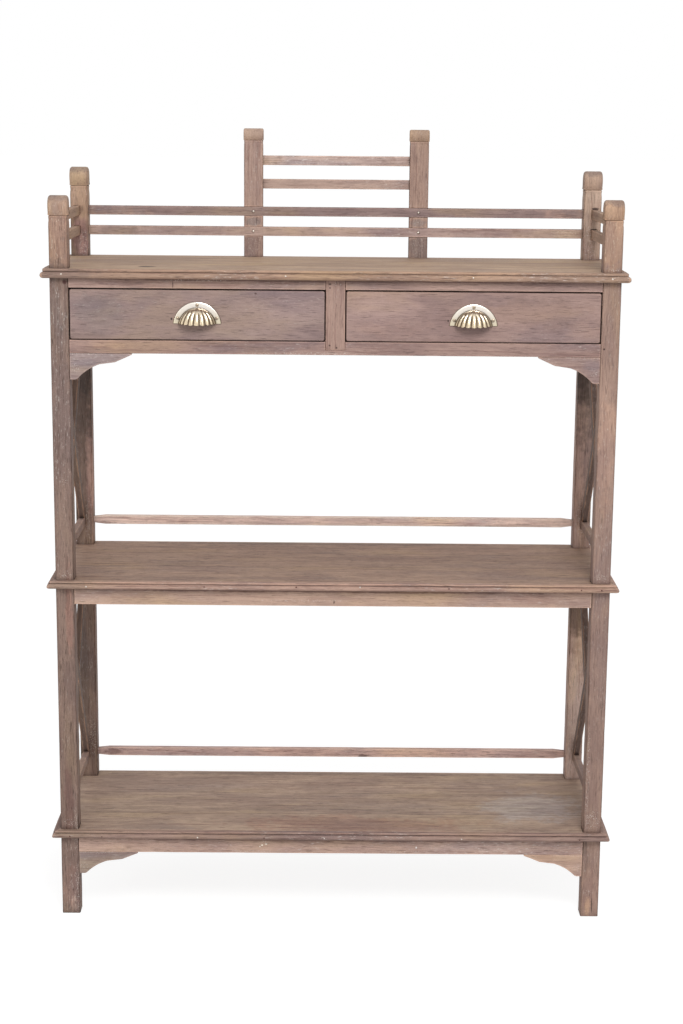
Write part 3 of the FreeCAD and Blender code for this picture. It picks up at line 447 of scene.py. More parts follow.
def necked(shape, crease, middle, near, side):
    """Round the stick's end under its crease, and hollow it a little below that."""
    neck = 0.4 * side
    for level in (0.10, 0.24, 0.38, 0.52, 0.68, 0.9):
        cut_across(shape, 2, (crease - neck * level) * MM)
    for vert in shape.verts:
        below = (crease - vert.co.z / MM) / neck
        if below < 1:
            shoulder = 0.045 * side * max(0.0, 1 - max(below, 0) / 0.16) ** 2
            hollow = 0.02 * side * math.sin(math.pi * min(1.0, max(0.0, (below - 0.1) / 0.9)))
            inset = (shoulder + hollow) * MM
            vert.co.x += inset if vert.co.x < middle * MM else -inset
            if vert.co.y < (near + 2) * MM:
                vert.co.y += inset


GREYED = (134, 117, 108)
PAINTED_SHADOW = (92, 78, 71)


def corner_post(end, side, tone, upper_tone, head_tone, seed, marks, **finish):
    """One stick, in another tone above the top board, and its head. The back ones carry a painted shadow
    under the case.
    """
    name = f"{end}_{side}_post"
    top = FRONT_TOP if end == "front" else BACK_TOP
    near = FRONT if end == "front" else BACK - POST_SIDE
    middle = (HALF_WIDTH - POST_SIDE / 2) * (-1 if side == "left" else 1)
    crease = top - HEAD_HEIGHT
    shape = headless(name, crease, 1.0, 0.4, seed)
    necked(shape, crease, middle, near, POST_SIDE)
    centre = (middle * MM, (near + POST_SIDE / 2) * MM, POST_MIDDLE * MM)
    upper = top - 40
    above = ((middle, near, upper), (80, 80, 1.2 * (upper - TONE_CHANGE)), upper_tone, 0.9)
    # A painted shadow of the drawer case on the back posts.
    if end == "back":
        marks = (((middle, 156, 1120), (60, 40, 130), PAINTED_SHADOW, 0.75),
                 ((middle, 156, 1100), (90, 40, 230), PAINTED_SHADOW, 0.6), *marks)
    wood = teak(f"{name}_teak", centre, (0, 0, 1), tone, seed=seed, marks=(above, *marks), **finish)
    stick = fitted(f"{name}_stick", shape, wood)
    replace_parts(stick, name)
    head = bmesh.new()
    scroll_head(head, middle, half=POST_SIDE / 2 + HEAD_OVERHANG, front=near, depth=POST_SIDE, top=top,
                height=HEAD_HEIGHT, bulge=3, notch=2, ends=5)
    greyed = ((middle, near + 14, top), (40, 40, 16), GREYED, 0.6)
    wood = teak(f"{name}_head_teak", centre, (0, 0, 1), head_tone, seed=seed + 0.4, streak=0.9, cloud=1.6,
                marks=[greyed])
    piece = fitted(f"{name}_scroll_head", head, wood, smooth=40)
    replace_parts(piece, name)


corner_post("front", "left", (131, 109, 99), (159, 129, 112), (178, 148, 126), 1, coarse=1.5, streak=0.9,
            lime=0.4,
            marks=[((-521, -167, 1292), (6, 5, 6), (84, 52, 48), 0.85),
                   ((-532, -160, 1230), (20, 40, 70), (136, 118, 110), 0.5),
                   ((-524, -160, 640), (9, 40, 120), (160, 116, 102), 0.35),
                   ((-532, -160, 230), (12, 40, 110), (112, 80, 74), 0.5),
                   ((-532, -160, 60), (24, 40, 70), (150, 120, 108), 0.6),
                   ((-526, -160, 20), (10, 30, 18), (184, 156, 138), 0.5)],
            specks=[((-519, -167, 180), (5, 8, 60)), ((-530, -167, 900), (12, 8, 8)),
                    ((-518, -167, 60), (6, 8, 70)), ((-530, -167, 715), (18, 8, 10)),
                    ((-530, -167, 196), (20, 8, 10))])
corner_post("front", "right", (150, 124, 112), (172, 139, 116), (180, 148, 123), 2, streak=0.6,
            marks=[((520.5, -167, 1171), (2.5, 4, 2.5), (60, 40, 34), 0.9),
                   ((532, -160, 980), (24, 40, 150), (172, 139, 122), 0.6),
                   ((532, -160, 60), (24, 40, 80), (166, 136, 122), 0.6),
                   ((528, -167, 22), (8, 12, 24), (190, 156, 130), 0.7),
                   ((536.5, -167, 22), (1.0, 9, 23), (44, 34, 30), 0.95),
                   ((519, -167, 150), (6, 8, 30), (110, 92, 84), 0.6)],
            specks=[((527, -167, 52), (14, 8, 8)), ((518, -167, 300), (6, 8, 140)),
                    ((532, -167, 210), (20, 8, 30)), ((532, -167, 715), (18, 8, 10)),
                    ((532, -167, 1324), (18, 8, 6))])
corner_post("back", "left", (128, 106, 94), (166, 138, 122), (170, 144, 125), 3, coarse=1.3,
            # A painted shadow of the front post on the left of this post, and painted light on its right
            # strip.
            marks=[((-538, 156, 420), (12, 40, 200), PAINTED_SHADOW, 0.5),
                   ((-520, 156, 870), (10, 40, 140), (168, 137, 125), 0.9),
                   ((-513, 170, 760), (5, 40, 620), (168, 134, 118), 0.5),
                   ((-532, 156, 1355), (26, 40, 66), (112, 86, 86), 0.8)],
            specks=[((-522, 156, 760), (14, 8, 60)), ((-522, 156, 1345), (14, 8, 40)),
                    ((-522, 156, 270), (14, 8, 60))])
corner_post("back", "right", (176, 146, 133), (184, 160, 142), (168, 142, 125), 4, coarse=1.3,
            # Painted shade under the middle board, and a painted shadow of the front post on the right of
            # this post.
            marks=[((532, 156, 556), (60, 40, 60), (122, 100, 88), 0.9),
                   ((544, 156, 850), (18, 40, 180), (140, 118, 110), 0.7),
                   ((526, 156, 300), (34, 40, 220), (206, 178, 163), 0.8),
                   ((520, 156, 1365), (8, 40, 60), (150, 124, 118), 0.5),
                   # Painted shade in the slots just above the short rails.
                   ((536, 156, 1423), (10, 12, 4), (60, 44, 42), 0.9),
                   ((536, 156, 1380), (10, 12, 4), (60, 44, 42), 0.9)],
            specks=[((528, 156, 1350), (16, 8, 60)), ((528, 156, 760), (14, 8, 60)),
                    ((528, 156, 260), (14, 8, 60))])

# Shelf boards: three wide boards, each glued up from three planks and notched round the posts. Their
# faces have worn to tan and olive brown, with long dark streaks and a knot near the left of the top.


def along_grain(name, tone, seed, **finish):
    """Teak for a named node. Its fibres run the node's longest way."""
    low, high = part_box(name)
    size = high - low
    grain = Vector((0, 0, 0))
    grain[max(range(3), key=lambda index: size[index])] = 1
    return teak(f"{name}_teak", (low + high) / 2, grain, tone, seed=seed, **finish)


def shelf_board(tier, tone, seed, **finish):
    """One board, a worn copy of the solid."""
    name = f"{tier}_board"
    wood = along_grain(name, tone, seed, cloud=0.7, streak=1.3, lime=0.2, **finish)
    board = fitted(f"{tier}_shelf_board", rubbed(sawn(name), 0.6, 0.15, 30, seed), wood)
    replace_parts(board, name)


shelf_board("top", (171, 146, 125), 11, coarse=0.9, planks=(-62, 71),
            marks=[((-369, -106, 1318), (20, 15, 12), (70, 56, 48), 0.9),
                   ((-350, -100, 1318), (34, 3, 4), (110, 88, 76), 0.5)])
shelf_board("middle", (158, 132, 116), 12, coarse=2.0, planks=(-38, 84),
            marks=[((0, 178, 703), (560, 14, 5), (112, 94, 86), 0.5)])
shelf_board("bottom", (169, 146, 129), 13, coarse=1.7, planks=(-70, 55),
            marks=[((-98, -150, 182), (22, 6, 6), (150, 126, 112), 0.7),
                   # A pale patch on the right: lime haze and a painted sheen.
                   ((425, -30, 182), (120, 110, 12), (182, 176, 174), 0.4),
                   ((60, -130, 182), (300, 60, 12), (160, 127, 111), 0.7),
                   ((-200, 70, 182), (440, 130, 12), (178, 154, 137), 0.7),
                   ((0, 178, 182), (560, 12, 5), (118, 98, 90), 0.4)])

# Edge mouldings: nine strips, nailed round three edges of each board and mitred at the front corners.
# Each is a flat band level with the board, a narrow quirk that holds dirt, and a rounded nose.

PROJECTION = 17
BAND = 12.2
QUIRK = 11.2
NOSE_STEPS = 12
NOSE_INSET = 0.1
NOSE_WEAR = 0.7
NOSE_WAVE = 0.4
END_WEAR = 0.9
WORN_PAST = 8


def moulding_outline(thick):
    """The section, as steps out from the board's edge and down from its face."""
    fillet = 0.26 * thick
    quirk = 0.07 * thick
    rise = (thick - fillet - quirk) / 2
    points = [(0, 0), (6, 0), (BAND - 0.9, 0), (BAND - 0.25, 0.25), (BAND, 0.9), (BAND, fillet - 0.5),
              (BAND - 0.4, fillet), (QUIRK, fillet + 0.1), (QUIRK, fillet + quirk)]
    for step in range(1, NOSE_STEPS + 1):
        turn = math.pi * step / NOSE_STEPS
        out = QUIRK + (PROJECTION - NOSE_INSET - QUIRK) * math.sin(turn)
        points.append((out, thick - rise - rise * math.cos(turn)))
    return [*points, (6, thick), (0, thick)]


def moulding_strip(tier, side, level, thick, material, seed):
    """One strip, whose nose wanders a little along its length."""
    count = 90 if side == "front" else 30
    sections = []
    for step in range(count + 1):
        share = step / count
        calm = min(1.0, 12 * share, 12 * (1 - share) if side == "front" else 1.0)
        section = []
        for out, drop in moulding_outline(thick):
            if out > WORN_PAST:
                worn = abs(noise.noise(Vector((14 * share, 3.7 * seed, drop / 9))))
                wave = noise.noise(Vector((20 * share, 2.3 * seed, 5)))
                out -= NOSE_WEAR * calm * worn + END_WEAR * (1 - calm)
                drop += NOSE_WAVE * calm * wave * (0 < drop < thick)
            if side == "front":
                spot = ((2 * share - 1) * (HALF_WIDTH + out), FRONT - out)
            else:
                sign = -1 if side == "left" else 1
                spot = (sign * (HALF_WIDTH + out), FRONT - out + (BACK - FRONT + out) * share)
            section.append(Vector((*spot, level - drop)) * MM)
        sections.append(section)
    shape = bmesh.new()
    lofted(shape, sections)
    return fitted(f"{tier}_{side}_moulding_strip", shape, material, smooth=35)


DUSTY = (134, 114, 105)
for tier, level, thick, tone, streak, seed in (("top", 1318, 18, (158, 130, 112), 0.9, 21),
                                               ("middle", 703, 15, (166, 137, 124), 1.3, 22),
                                               ("bottom", 182, 15, (150, 125, 115), 1.4, 23)):
    for side, grain in (("front", (1, 0, 0)), ("left", (0, 1, 0)), ("right", (0, 1, 0))):
        seed += 0.2
        wood = teak(f"{tier}_{side}_moulding_teak", (0, FRONT * MM, level * MM), grain, tone, seed=seed,
                    lime=0.6, streak=streak, coarse=1.4,
                    marks=[((-530, FRONT, level - 8), (90, 60, 30), DUSTY, 0.6)])
        strip = moulding_strip(tier, side, level, thick, wood, seed)
        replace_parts(strip, f"{tier}_moulding")

# Moulding nails: small round steel heads along the noses of the front mouldings, driven in until they
# stand just proud of the wood. Some are still bright, and the others have rusted.

NAIL_SINK = 1.0


def dulled(name, shine, dirt, rough, spread, open_to=0.75, ages=(), flank_tarnish_and_shade=None):
    """Bare metal with dirt in its hollows and small dull spots.

    Spread is how far the dirt reaches out of a corner. Ages are other colours that come in along an axis,
    and the flank colour is tarnish and painted shade on sides that face sideways.
    """
    material = bpy.data.materials.new(name)
    material.use_nodes = True
    surface = material.node_tree.nodes["Principled BSDF"]
    place = Signal(material.node_tree).add("ShaderNodeTexCoord", {}, {}, "Object")
    blotches = place.scaled(160, 160).clouds(4.0, 0.6)
    grime = place.scaled(700, 700).clouds(3.0, 0.6)
    hollow = place.add("ShaderNodeAmbientOcclusion", {"samples": 8}, {"Distance": spread * MM}, "AO")
    tarnish = (hollow.share(open_to, 0.4 * open_to) + blotches.share(0.52, 0.8) * 0.25).math("MINIMUM", 1.0)
    colour = paint(*shine)
    for axis, fresh, old, stain, most in ages:
        aged = (place.part(axis) + (blotches - 0.5) * 6 * MM).share(fresh * MM, old * MM)
        colour = (aged * most).mixed(colour, paint(*stain))
    # Tarnish and painted shade on sides that face sideways.
    if flank_tarnish_and_shade:
        side = place.add("ShaderNodeTexCoord", {}, {}, "Normal").part("X").math("ABSOLUTE").share(0.1, 0.7)
        colour = (side * 0.9).mixed(colour, paint(*flank_tarnish_and_shade))
    colour = (tarnish * 0.85).mixed(colour, paint(*dirt))
    metal = 1 - tarnish * 0.25
    sheen = rough + blotches * 0.12 + tarnish * 0.25
    bump = place.add("ShaderNodeBump", {},
                     {"Strength": 0.25, "Distance": 0.06 * MM, "Height": blotches + grime * 0.3})
    colour.feed(surface, "Base Color")
    metal.feed(surface, "Metallic")
    sheen.feed(surface, "Roughness")
    bump.feed(surface, "Normal")
    return material


def nail_head(shape, centre, radius, rise):
    """A low dome that faces the front."""
    rings = [(radius, 0.0), (radius, 0.25 * rise), (0.86 * radius, 0.7 * rise), (0.5 * radius, 0.95 * rise)]
    loops = []
    for reach, out in rings:
        loop = []
        for step in range(16):
            turn = math.tau * step / 16
            spot = Vector((reach * math.cos(turn), -out, reach * math.sin(turn)))
            loop.append((Vector(centre) + spot) * MM)
        loops.append(loop)
    lofted(shape, loops)


nail_steel = dulled("nail_steel_dull", (214, 206, 196), (70, 56, 50), 0.34, 2.0)
nail_rust = dulled("nail_rust_dull", (104, 74, 66), (52, 38, 34), 0.6, 2.0)
for name, metal, spots in (
        ("moulding_nails", nail_steel, ((-525, 1308.5), (530, 1307.5), (-96, 1308), (263, 1308), (-488, 694),
                                        (53, 697), (-271, 171.5), (-14, 171.5), (265, 172))),
        ("rusted_nails", nail_rust, ((-255, 695), (-73, 696), (229, 695), (491, 694), (531, 694),
                                     (-530, 172), (-465, 172), (-136, 171.5), (505, 172)))):
    heads = bmesh.new()
    for x, z in spots:
        nail_head(heads, (x, FRONT - PROJECTION + NAIL_SINK, z), radius=1.6, rise=0.9)
    fitted(name, heads, metal, smooth=50)

# Aprons: narrow boards under the middle and bottom shelves, tenoned into the posts. The front ones
# are thicker. White plaster chips have stuck to the bottom front one.


def dressed(name, tone, seed, slot, wander=0.3, every=24, **finish):
    """A worn copy of a sawn piece, in teak."""
    wood = along_grain(name, tone, seed, **finish)
    piece = fitted(f"{name}_worn", rubbed(sawn(name), 0.8, wander, every, seed), wood)
    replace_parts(piece, name)


CHIP = (238, 232, 226)
dressed("middle_front_apron", (176, 148, 133), 31, "frame_wood", cloud=1.1, streak=0.6, coarse=0.9,
        # A painted shade line under the moulding.
        marks=[((0, -167, 684.5), (640, 6, 4.5), (104, 78, 70), 0.7),
               ((395, -167, 672), (60, 8, 14), (160, 128, 116), 0.5),
               ((2, -167, 662), (2, 5, 4), (70, 50, 44), 0.8)],
        specks=[((-60, -167, 665), (120, 5, 3))])
dressed("bottom_front_apron", (177, 149, 137), 32, "frame_wood", cloud=1.0, streak=0.5, coarse=1.2, lime=0.6,
        marks=[((330, -167, 152), (180, 8, 16), (188, 162, 150), 0.6),
               # A painted shade line under the moulding.
               ((0, -167, 161.5), (640, 6, 4.5), (110, 86, 78), 0.6),
               ((-140.5, -167, 150), (2.4, 4, 2), CHIP, 1.0),
               ((-132.5, -167, 152.5), (2.9, 4, 1.8), CHIP, 1.0),
               ((-145, -167, 147), (1.6, 4, 1.6), CHIP, 1.0), ((174, -167, 147), (2.2, 4, 2.6), CHIP, 1.0),
               ((262, -167, 163), (2, 4, 1.6), CHIP, 0.9)],
        specks=[((-136, -167, 156), (12, 5, 5)), ((-160, -167, 137), (60, 5, 3)),
                ((150, -167, 138), (80, 5, 3))])
for seed, name in enumerate(("middle_side_aprons", "bottom_side_aprons", "middle_back_apron",
                             "bottom_back_apron")):
    dressed(name, (166, 138, 124), 33 + seed, "frame_wood")

# Rails that stand clear above the middle and bottom boards, at the back and at both sides. The back
# ones thin towards their ends and are housed in the posts.

dressed("middle_back_rail", (220, 194, 183), 41, "frame_wood", wander=0.5, streak=1.3, lime=0.5,
        marks=[((-494, 172, 744), (30, 9, 9), (150, 120, 112), 0.6),
               ((380, 172, 744), (90, 9, 9), (176, 150, 140), 0.6)])
dressed("bottom_back_rail", (208, 177, 166), 42, "frame_wood", wander=0.6, streak=1.4, coarse=1.5, lime=0.5,
        marks=[((-480, 172, 233), (24, 9, 8), (120, 88, 80), 0.6),
               ((70, 172, 226), (16, 9, 4), (90, 66, 60), 0.7)])
dressed("middle_side_rails", (150, 126, 114), 43, "frame_wood")
dressed("bottom_side_rails", (150, 126, 114), 44, "frame_wood")

# Crossed braces: two flat slats in each side bay, halved together where they cross and let into the
# posts at their ends.

for tier in ("upper", "lower"):
    for side in ("left", "right"):
        for seed, way in enumerate(("rising", "falling"), 51):
            name = f"{tier}_{side}_{way}_brace"
            low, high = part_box(name)
            size = high - low
            lean = Vector((0, size.y if way == "rising" else -size.y, size.z)).normalized()
            wood = teak(f"{name}_teak", (low + high) / 2, lean, (112, 92, 81), seed=seed + len(name),
                        coarse=1.3, edges=1.2)
            brace = fitted(f"{name}_slat", rubbed(sawn(name), 0.7, 0.3, 24, seed), wood)
            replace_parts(brace, name)

# Drawer case: two front rails tenoned into the posts, a divider lapped over them, thin side panels
# and a back panel. The laps are pinned, and dirt has gathered round the pins.

PIN = (58, 44, 40)
dressed("drawer_top_rail", (159, 133, 124), 61, "case_wood",
        # A painted shade line under the moulding.
        marks=[((0, -167, 1298.5), (640, 6, 3.5), (96, 72, 66), 0.6),
               ((-313, -167, 1289), (1.5, 5, 9), (74, 54, 50), 0.8),
               ((-420, -167, 1290), (60, 6, 4), (120, 96, 92), 0.5),
               ((80, -167, 1290), (60, 6, 8), (140, 118, 112), 0.4)],
        specks=[((-270, -167, 1297), (80, 5, 3))])
dressed("drawer_lower_rail", (150, 124, 116), 62, "case_wood", cloud=1.3,
        marks=[((-160, -167, 1168), (150, 8, 10), (136, 114, 110), 0.6),
               ((-440, -167, 1172), (60, 8, 10), (168, 138, 122), 0.5)],
        specks=[((-60, -167, 1158), (160, 5, 3))])
dressed("drawer_divider", (150, 124, 114), 63, "case_wood",
        marks=[((-11, -167, 1292), (3, 4, 2.6), PIN, 0.85), ((-11, -167, 1285), (2.2, 4, 2.2), PIN, 0.8),
               ((-11, -167, 1174), (2.6, 4, 2.2), PIN, 0.8), ((2.5, -167, 1169.5), (2.4, 4, 2.4), PIN, 0.85)],
        specks=[((2, -167, 1291), (14, 5, 5))])
for seed, name in enumerate(("left_case_side", "right_case_side")):
    dressed(name, (162, 135, 122), 64 + seed, "case_wood", cloud=1.2)
dressed("case_back", (164, 138, 124), 66, "case_wood", cloud=1.2, streak=1.2)

# Runners and guides: plain sawn strips of teak inside the case, which the drawers slide on and
# between. They are waxed by use and less weathered.


def refinished(name, tone, seed, cloud=0.6, streak=0.8, lime=0.05, **finish):
    """A solid whose own shape is right, in teak."""
    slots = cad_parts[name].data.materials
    slots.clear()
    slots.append(along_grain(name, tone, seed, cloud=cloud, streak=streak, lime=lime, **finish))


for seed, name in enumerate(("side_runners", "centre_runner", "drawer_guides")):
    refinished(name, (152, 122, 98), 71 + seed)

# Corner brackets: sawn from thin boards, glued and pinned in the corners under the drawer rail and
# the bottom apron. Their faces are greyer than the rails, and white crumbs line the joints.

for name, tone, stain, spot in (("upper_left_bracket", (155, 136, 131), (143, 127, 126), (-485, -166, 1135)),
                                ("upper_right_bracket", (156, 131, 122), (137, 118, 117), (500, -166, 1138)),
                                ("lower_left_bracket", (157, 138, 130), (144, 122, 116), (-470, -166, 122)),
                                ("lower_right_bracket", (184, 155, 141), (162, 132, 120), (440, -166, 128))):
    sign = 1 if "right" in name else -1
    ledge = 1153 if "upper" in name else 131
    dressed(name, tone, 81 + spot[0] / 100, "frame_wood", every=10, wander=0.35,
            marks=[(spot, (26, 9, 14), stain, 0.6)],
            specks=[((sign * 480, -166, ledge), (50, 5, 3)), ((sign * 503, -166, ledge - 28), (10, 5, 12))])

# Gallery: two long rails at the back and two short ones at each side, housed in the posts. One nail
# holds each long rail where it crosses a crest post.

dressed("gallery_back_rails", (158, 133, 125), 91, "gallery_wood", wander=0.45, cloud=1.9, lime=0.5,
        marks=[((0, 168, 1413), (900, 9, 30), (138, 119, 117), 0.8),
               ((0, 168, 1370), (900, 9, 24), (176, 153, 145), 0.8),
               ((-450, 168, 1371), (50, 9, 12), (122, 102, 100), 0.6),
               ((-180, 168, 1371), (70, 9, 12), (176, 150, 136), 0.5),
               ((330, 168, 1371), (70, 9, 12), (140, 116, 112), 0.5),
               ((455, 168, 1412), (28, 9, 12), (184, 152, 138), 0.6),
               *[((x, 168, z), (5, 4, 5), stain, strength)
                 for x, stain, strength in ((-172, (96, 80, 76), 0.6), (172, (80, 66, 62), 0.7))
                 for z in (1412, 1371)]],
        specks=[((475, 168, 1371), (40, 5, 10)), ((60, 168, 1404), (80, 5, 3))])
for seed, side in enumerate(("left", "right")):
    dressed(f"gallery_{side}_rails", (158, 132, 114), 92 + seed, "gallery_wood")

MARGIN = 2.5
low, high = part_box("gallery_nails")
heads = bmesh.new()
for x in (low.x / MM + MARGIN, high.x / MM - MARGIN):
    for z in (low.z / MM + MARGIN, high.z / MM - MARGIN):
        nail_head(heads, (x, low.y / MM + 1, z), radius=2.1, rise=1.0)
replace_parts(fitted("gallery_nail_heads", heads, nail_steel, smooth=50), "gallery_nails")

# Crest: two short posts with small scroll heads, tenoned into the top board behind the long rails,
# and two slats housed between them. The posts are darker and greyer below the rails.

CREST_TOP = 1581
CREST_MIDDLE = 171.5
CREST_WIDTH = 39
CREST_DEPTH = 24
CREST_HEAD = 24
CREST_CENTRE = 1450


def crest_post(side, tone, low_tone, head_tone, seed):
    """One short stick and its head."""
    name = f"{side}_crest_post"
    middle = CREST_MIDDLE * (-1 if side == "left" else 1)
    near = BACK - CREST_DEPTH
    crease = CREST_TOP - CREST_HEAD
    shape = headless(name, crease, 0.8, 0.3, seed)
    necked(shape, crease, middle, near, CREST_DEPTH)
    centre = (middle * MM, (near + CREST_DEPTH / 2) * MM, CREST_CENTRE * MM)
    wood = teak(f"{name}_teak", centre, (0, 0, 1), tone, seed=seed, streak=1.2,
                marks=[((middle, 168, 1391), (21, 9, 11), (132, 118, 114), 0.7),
                       ((middle, 168, 1340), (34, 12, 34), low_tone, 0.8)],
                specks=[((middle, 168, 1360), (22, 5, 60))])
    stick = fitted(f"{name}_stick", shape, wood)
    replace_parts(stick, name)
    head = bmesh.new()
    scroll_head(head, middle, half=CREST_WIDTH / 2 + HEAD_OVERHANG, front=near, depth=CREST_DEPTH,
                top=CREST_TOP, height=CREST_HEAD, bulge=2, notch=1.5, ends=3)
    wood = teak(f"{name}_head_teak", centre, (0, 0, 1), head_tone, seed=seed + 0.5, streak=0.7)
    piece = fitted(f"{name}_scroll_head", head, wood, smooth=40)
    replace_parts(piece, name)


crest_post("left", (168, 141, 128), (134, 111, 103), (171, 146, 130), 101)
crest_post("right", (157, 131, 119), (117, 101, 96), (172, 144, 121), 102)
dressed("crest_slats", (172, 148, 137), 103, "gallery_wood", wander=0.45, cloud=2.0, lime=0.6,
        marks=[((0, 176, 1519), (200, 8, 16), (196, 174, 164), 0.8)],
        specks=[((-60, 176, 1515), (90, 5, 8))])

# Drawers: inset fronts with eased edges and rounded corners, cloudy mauve and grey, and plain boxes
# behind them whose bottoms slide into grooves. Old screw holes show beside the pulls.

HOLE = (46, 34, 30)
refinished("left_drawer_front", (141, 120, 116), 111, cloud=1.0, streak=0.25, coarse=1.0, lime=0.2,
           marks=[((-316, -167, 1223), (2.4, 5, 3), HOLE, 0.95),
                  ((-154, -167, 1273), (3.4, 5, 2.4), (78, 52, 48), 0.8),
                  ((-455, -167, 1232), (60, 8, 44), (130, 115, 112), 0.5),
                  ((-90, -167, 1235), (70, 8, 44), (150, 128, 124), 0.5),
                  ((-190, -167, 1196), (60, 8, 14), (150, 130, 124), 0.4)])
refinished("right_drawer_front", (150, 125, 118), 112, cloud=1.0, streak=0.3, coarse=0.95, lime=0.12,
           marks=[((217.5, -167, 1223.5), (2.0, 5, 2.6), HOLE, 0.9),
                  ((120, -167, 1205), (90, 8, 22), (160, 132, 122), 0.5),
                  ((90, -167, 1240), (110, 8, 40), (157, 132, 126), 0.7),
                  ((400, -167, 1240), (120, 8, 40), (140, 115, 106), 0.7),
                  ((300, -167, 1262), (160, 8, 14), (138, 116, 112), 0.5),
                  ((470, -167, 1205), (40, 8, 26), (164, 136, 125), 0.5)])
for side, seed in (("left", 113), ("right", 117)):
    for step, part in enumerate(("sides", "back", "bottom")):
        refinished(f"{side}_drawer_{part}", (176, 146, 118), seed + step,
                   planks=(-60, 40) if part == "bottom" else ())

# Cup pulls: cast brass. A half-round flange, screwed on through three holes, carries a half dome of
# nine lobes, open below. The brass is pale and bright where fingers rub it, and brown in its flutes.
# The sides of the lobes are browned with tarnish and painted shade.

PULL_BASE = 1214.5
FLANGE_RADIUS = 47
FLANGE_BAND = 12.5
FLANGE_SINK = 5.4
FLANGE_STEPS = 60
SHELL_RADIUS = FLANGE_RADIUS - FLANGE_BAND + 1.2
SHELL_THICKNESS = 1.6
PULL_REACH = 24.4
LOBES = 9
LOBE_STEPS = 10
LOBE_RISE = 1.4
FLUTE_DEPTH = 2.6
FLUTES_END = 0.88
FLUTES_FADE = 0.3
LIP_ROLL = 0.5
LIP_SCALLOP = 2.4
LIP_DROOP = 2.2
# The brown on the lobes' sides is tarnish and painted shade.
brass = dulled("pull_brass_worn", (238, 230, 220), (64, 50, 40), 0.24, 7.0, open_to=0.95,
               ages=[("Z", 1246, 1214, (214, 200, 166), 0.7),
                     ("Y", FRONT - 2, FRONT - 8, (196, 178, 150), 0.7)],
               flank_tarnish_and_shade=(112, 94, 72))


def pull_flange(shape, centre_x):
    """The flange: a half ring with softened rims."""
    inner = FLANGE_RADIUS - FLANGE_BAND
    section = [(inner, 0.0), (inner, 1.3), (inner + 0.7, 1.9), (inner + 3, 2.0), (FLANGE_RADIUS - 4, 2.0),
               (FLANGE_RADIUS - 1.6, 1.85), (FLANGE_RADIUS - 0.5, 1.3), (FLANGE_RADIUS, 0.5),
               (FLANGE_RADIUS, 0.0)]
    loops = []
    for step in range(FLANGE_STEPS + 1):
        loop = []
        for reach, out in section:
            first = math.asin(FLANGE_SINK / reach)
            turn = first + (math.pi - 2 * first) * step / FLANGE_STEPS
            loop.append(Vector((centre_x + reach * math.cos(turn), FRONT - out,
                                PULL_BASE - FLANGE_SINK + reach * math.sin(turn))) * MM)
        loops.append(loop)
    lofted(shape, loops)


def shell_row(level, inset):
    """One row of the dome, as steps across, out from the drawer's front, and up from the pull's base."""
    half = math.sqrt(SHELL_RADIUS ** 2 - FLANGE_SINK ** 2)
    tall = SHELL_RADIUS - FLANGE_SINK
    shrink = math.sqrt(SHELL_RADIUS ** 2 - (FLANGE_SINK + tall * level) ** 2) / half
    depth = FLUTE_DEPTH * min(1.0, max(0.0, (FLUTES_END - level) / FLUTES_FADE))
    row = []
    for step in range(LOBES * LOBE_STEPS + 1):
        turn = math.pi * step / (LOBES * LOBE_STEPS)
        swell = abs(math.sin(LOBES * turn)) ** 0.7
        lobe = LOBE_RISE - depth * (1 - swell) - inset
        lip = LIP_ROLL * (1 - level) ** 6
        across = shrink * (half + lobe + lip) * math.cos(turn)
        out = max(0.0, shrink * (PULL_REACH - LOBE_RISE + lobe + lip) * math.sin(turn))
        up = tall * level - inset * 0.4 + LIP_SCALLOP * (1 - swell) * (1 - level) ** 8 * math.sin(turn)
        up = max(0.0, up) - LIP_DROOP * (1 - level) ** 3 * math.sin(turn) ** 2
        row.append((across, out, up))
    return row


def pull_shell(shape, centre_x):
    """The dome: lobes whose valleys are sharp, and whose lower lip is scalloped."""
    skins = []
    for inset in (0.0, SHELL_THICKNESS):
        rows = []
        for level in (0.0, 0.05, 0.12, 0.22, 0.34, 0.46, 0.58, 0.66, 0.74, 0.81, 0.88, 0.94, 0.99):
            rows.append([shape.verts.new(Vector((centre_x + across, FRONT - out, PULL_BASE + up)) * MM)
                         for across, out, up in shell_row(level, inset)])
        skins.append(rows)
    made = []
    outer, inner = skins
    for rows in skins:
        for low, high in zip(rows, rows[1:]):
            for step in range(len(low) - 1):
                made.append(shape.faces.new((low[step], low[step + 1], high[step + 1], high[step])))
    for first, second in ((outer[0], inner[0]), (outer[-1], inner[-1])):
        for step in range(len(first) - 1):
            made.append(shape.faces.new((first[step], first[step + 1], second[step + 1], second[step])))
    for edge in (0, -1):
        for level in range(len(outer) - 1):
            made.append(shape.faces.new((outer[level][edge], outer[level + 1][edge],
                                         inner[level + 1][edge], inner[level][edge])))
    bmesh.ops.recalc_face_normals(shape, faces=made)


SCREW_RADIUS = 3.25
SCREW_RISE = 1.5
SCREW_TURNS = (22.5, 90.0, 157.5)
SLOT_DEPTH = 0.75
SLOT_SHARE = 0.17


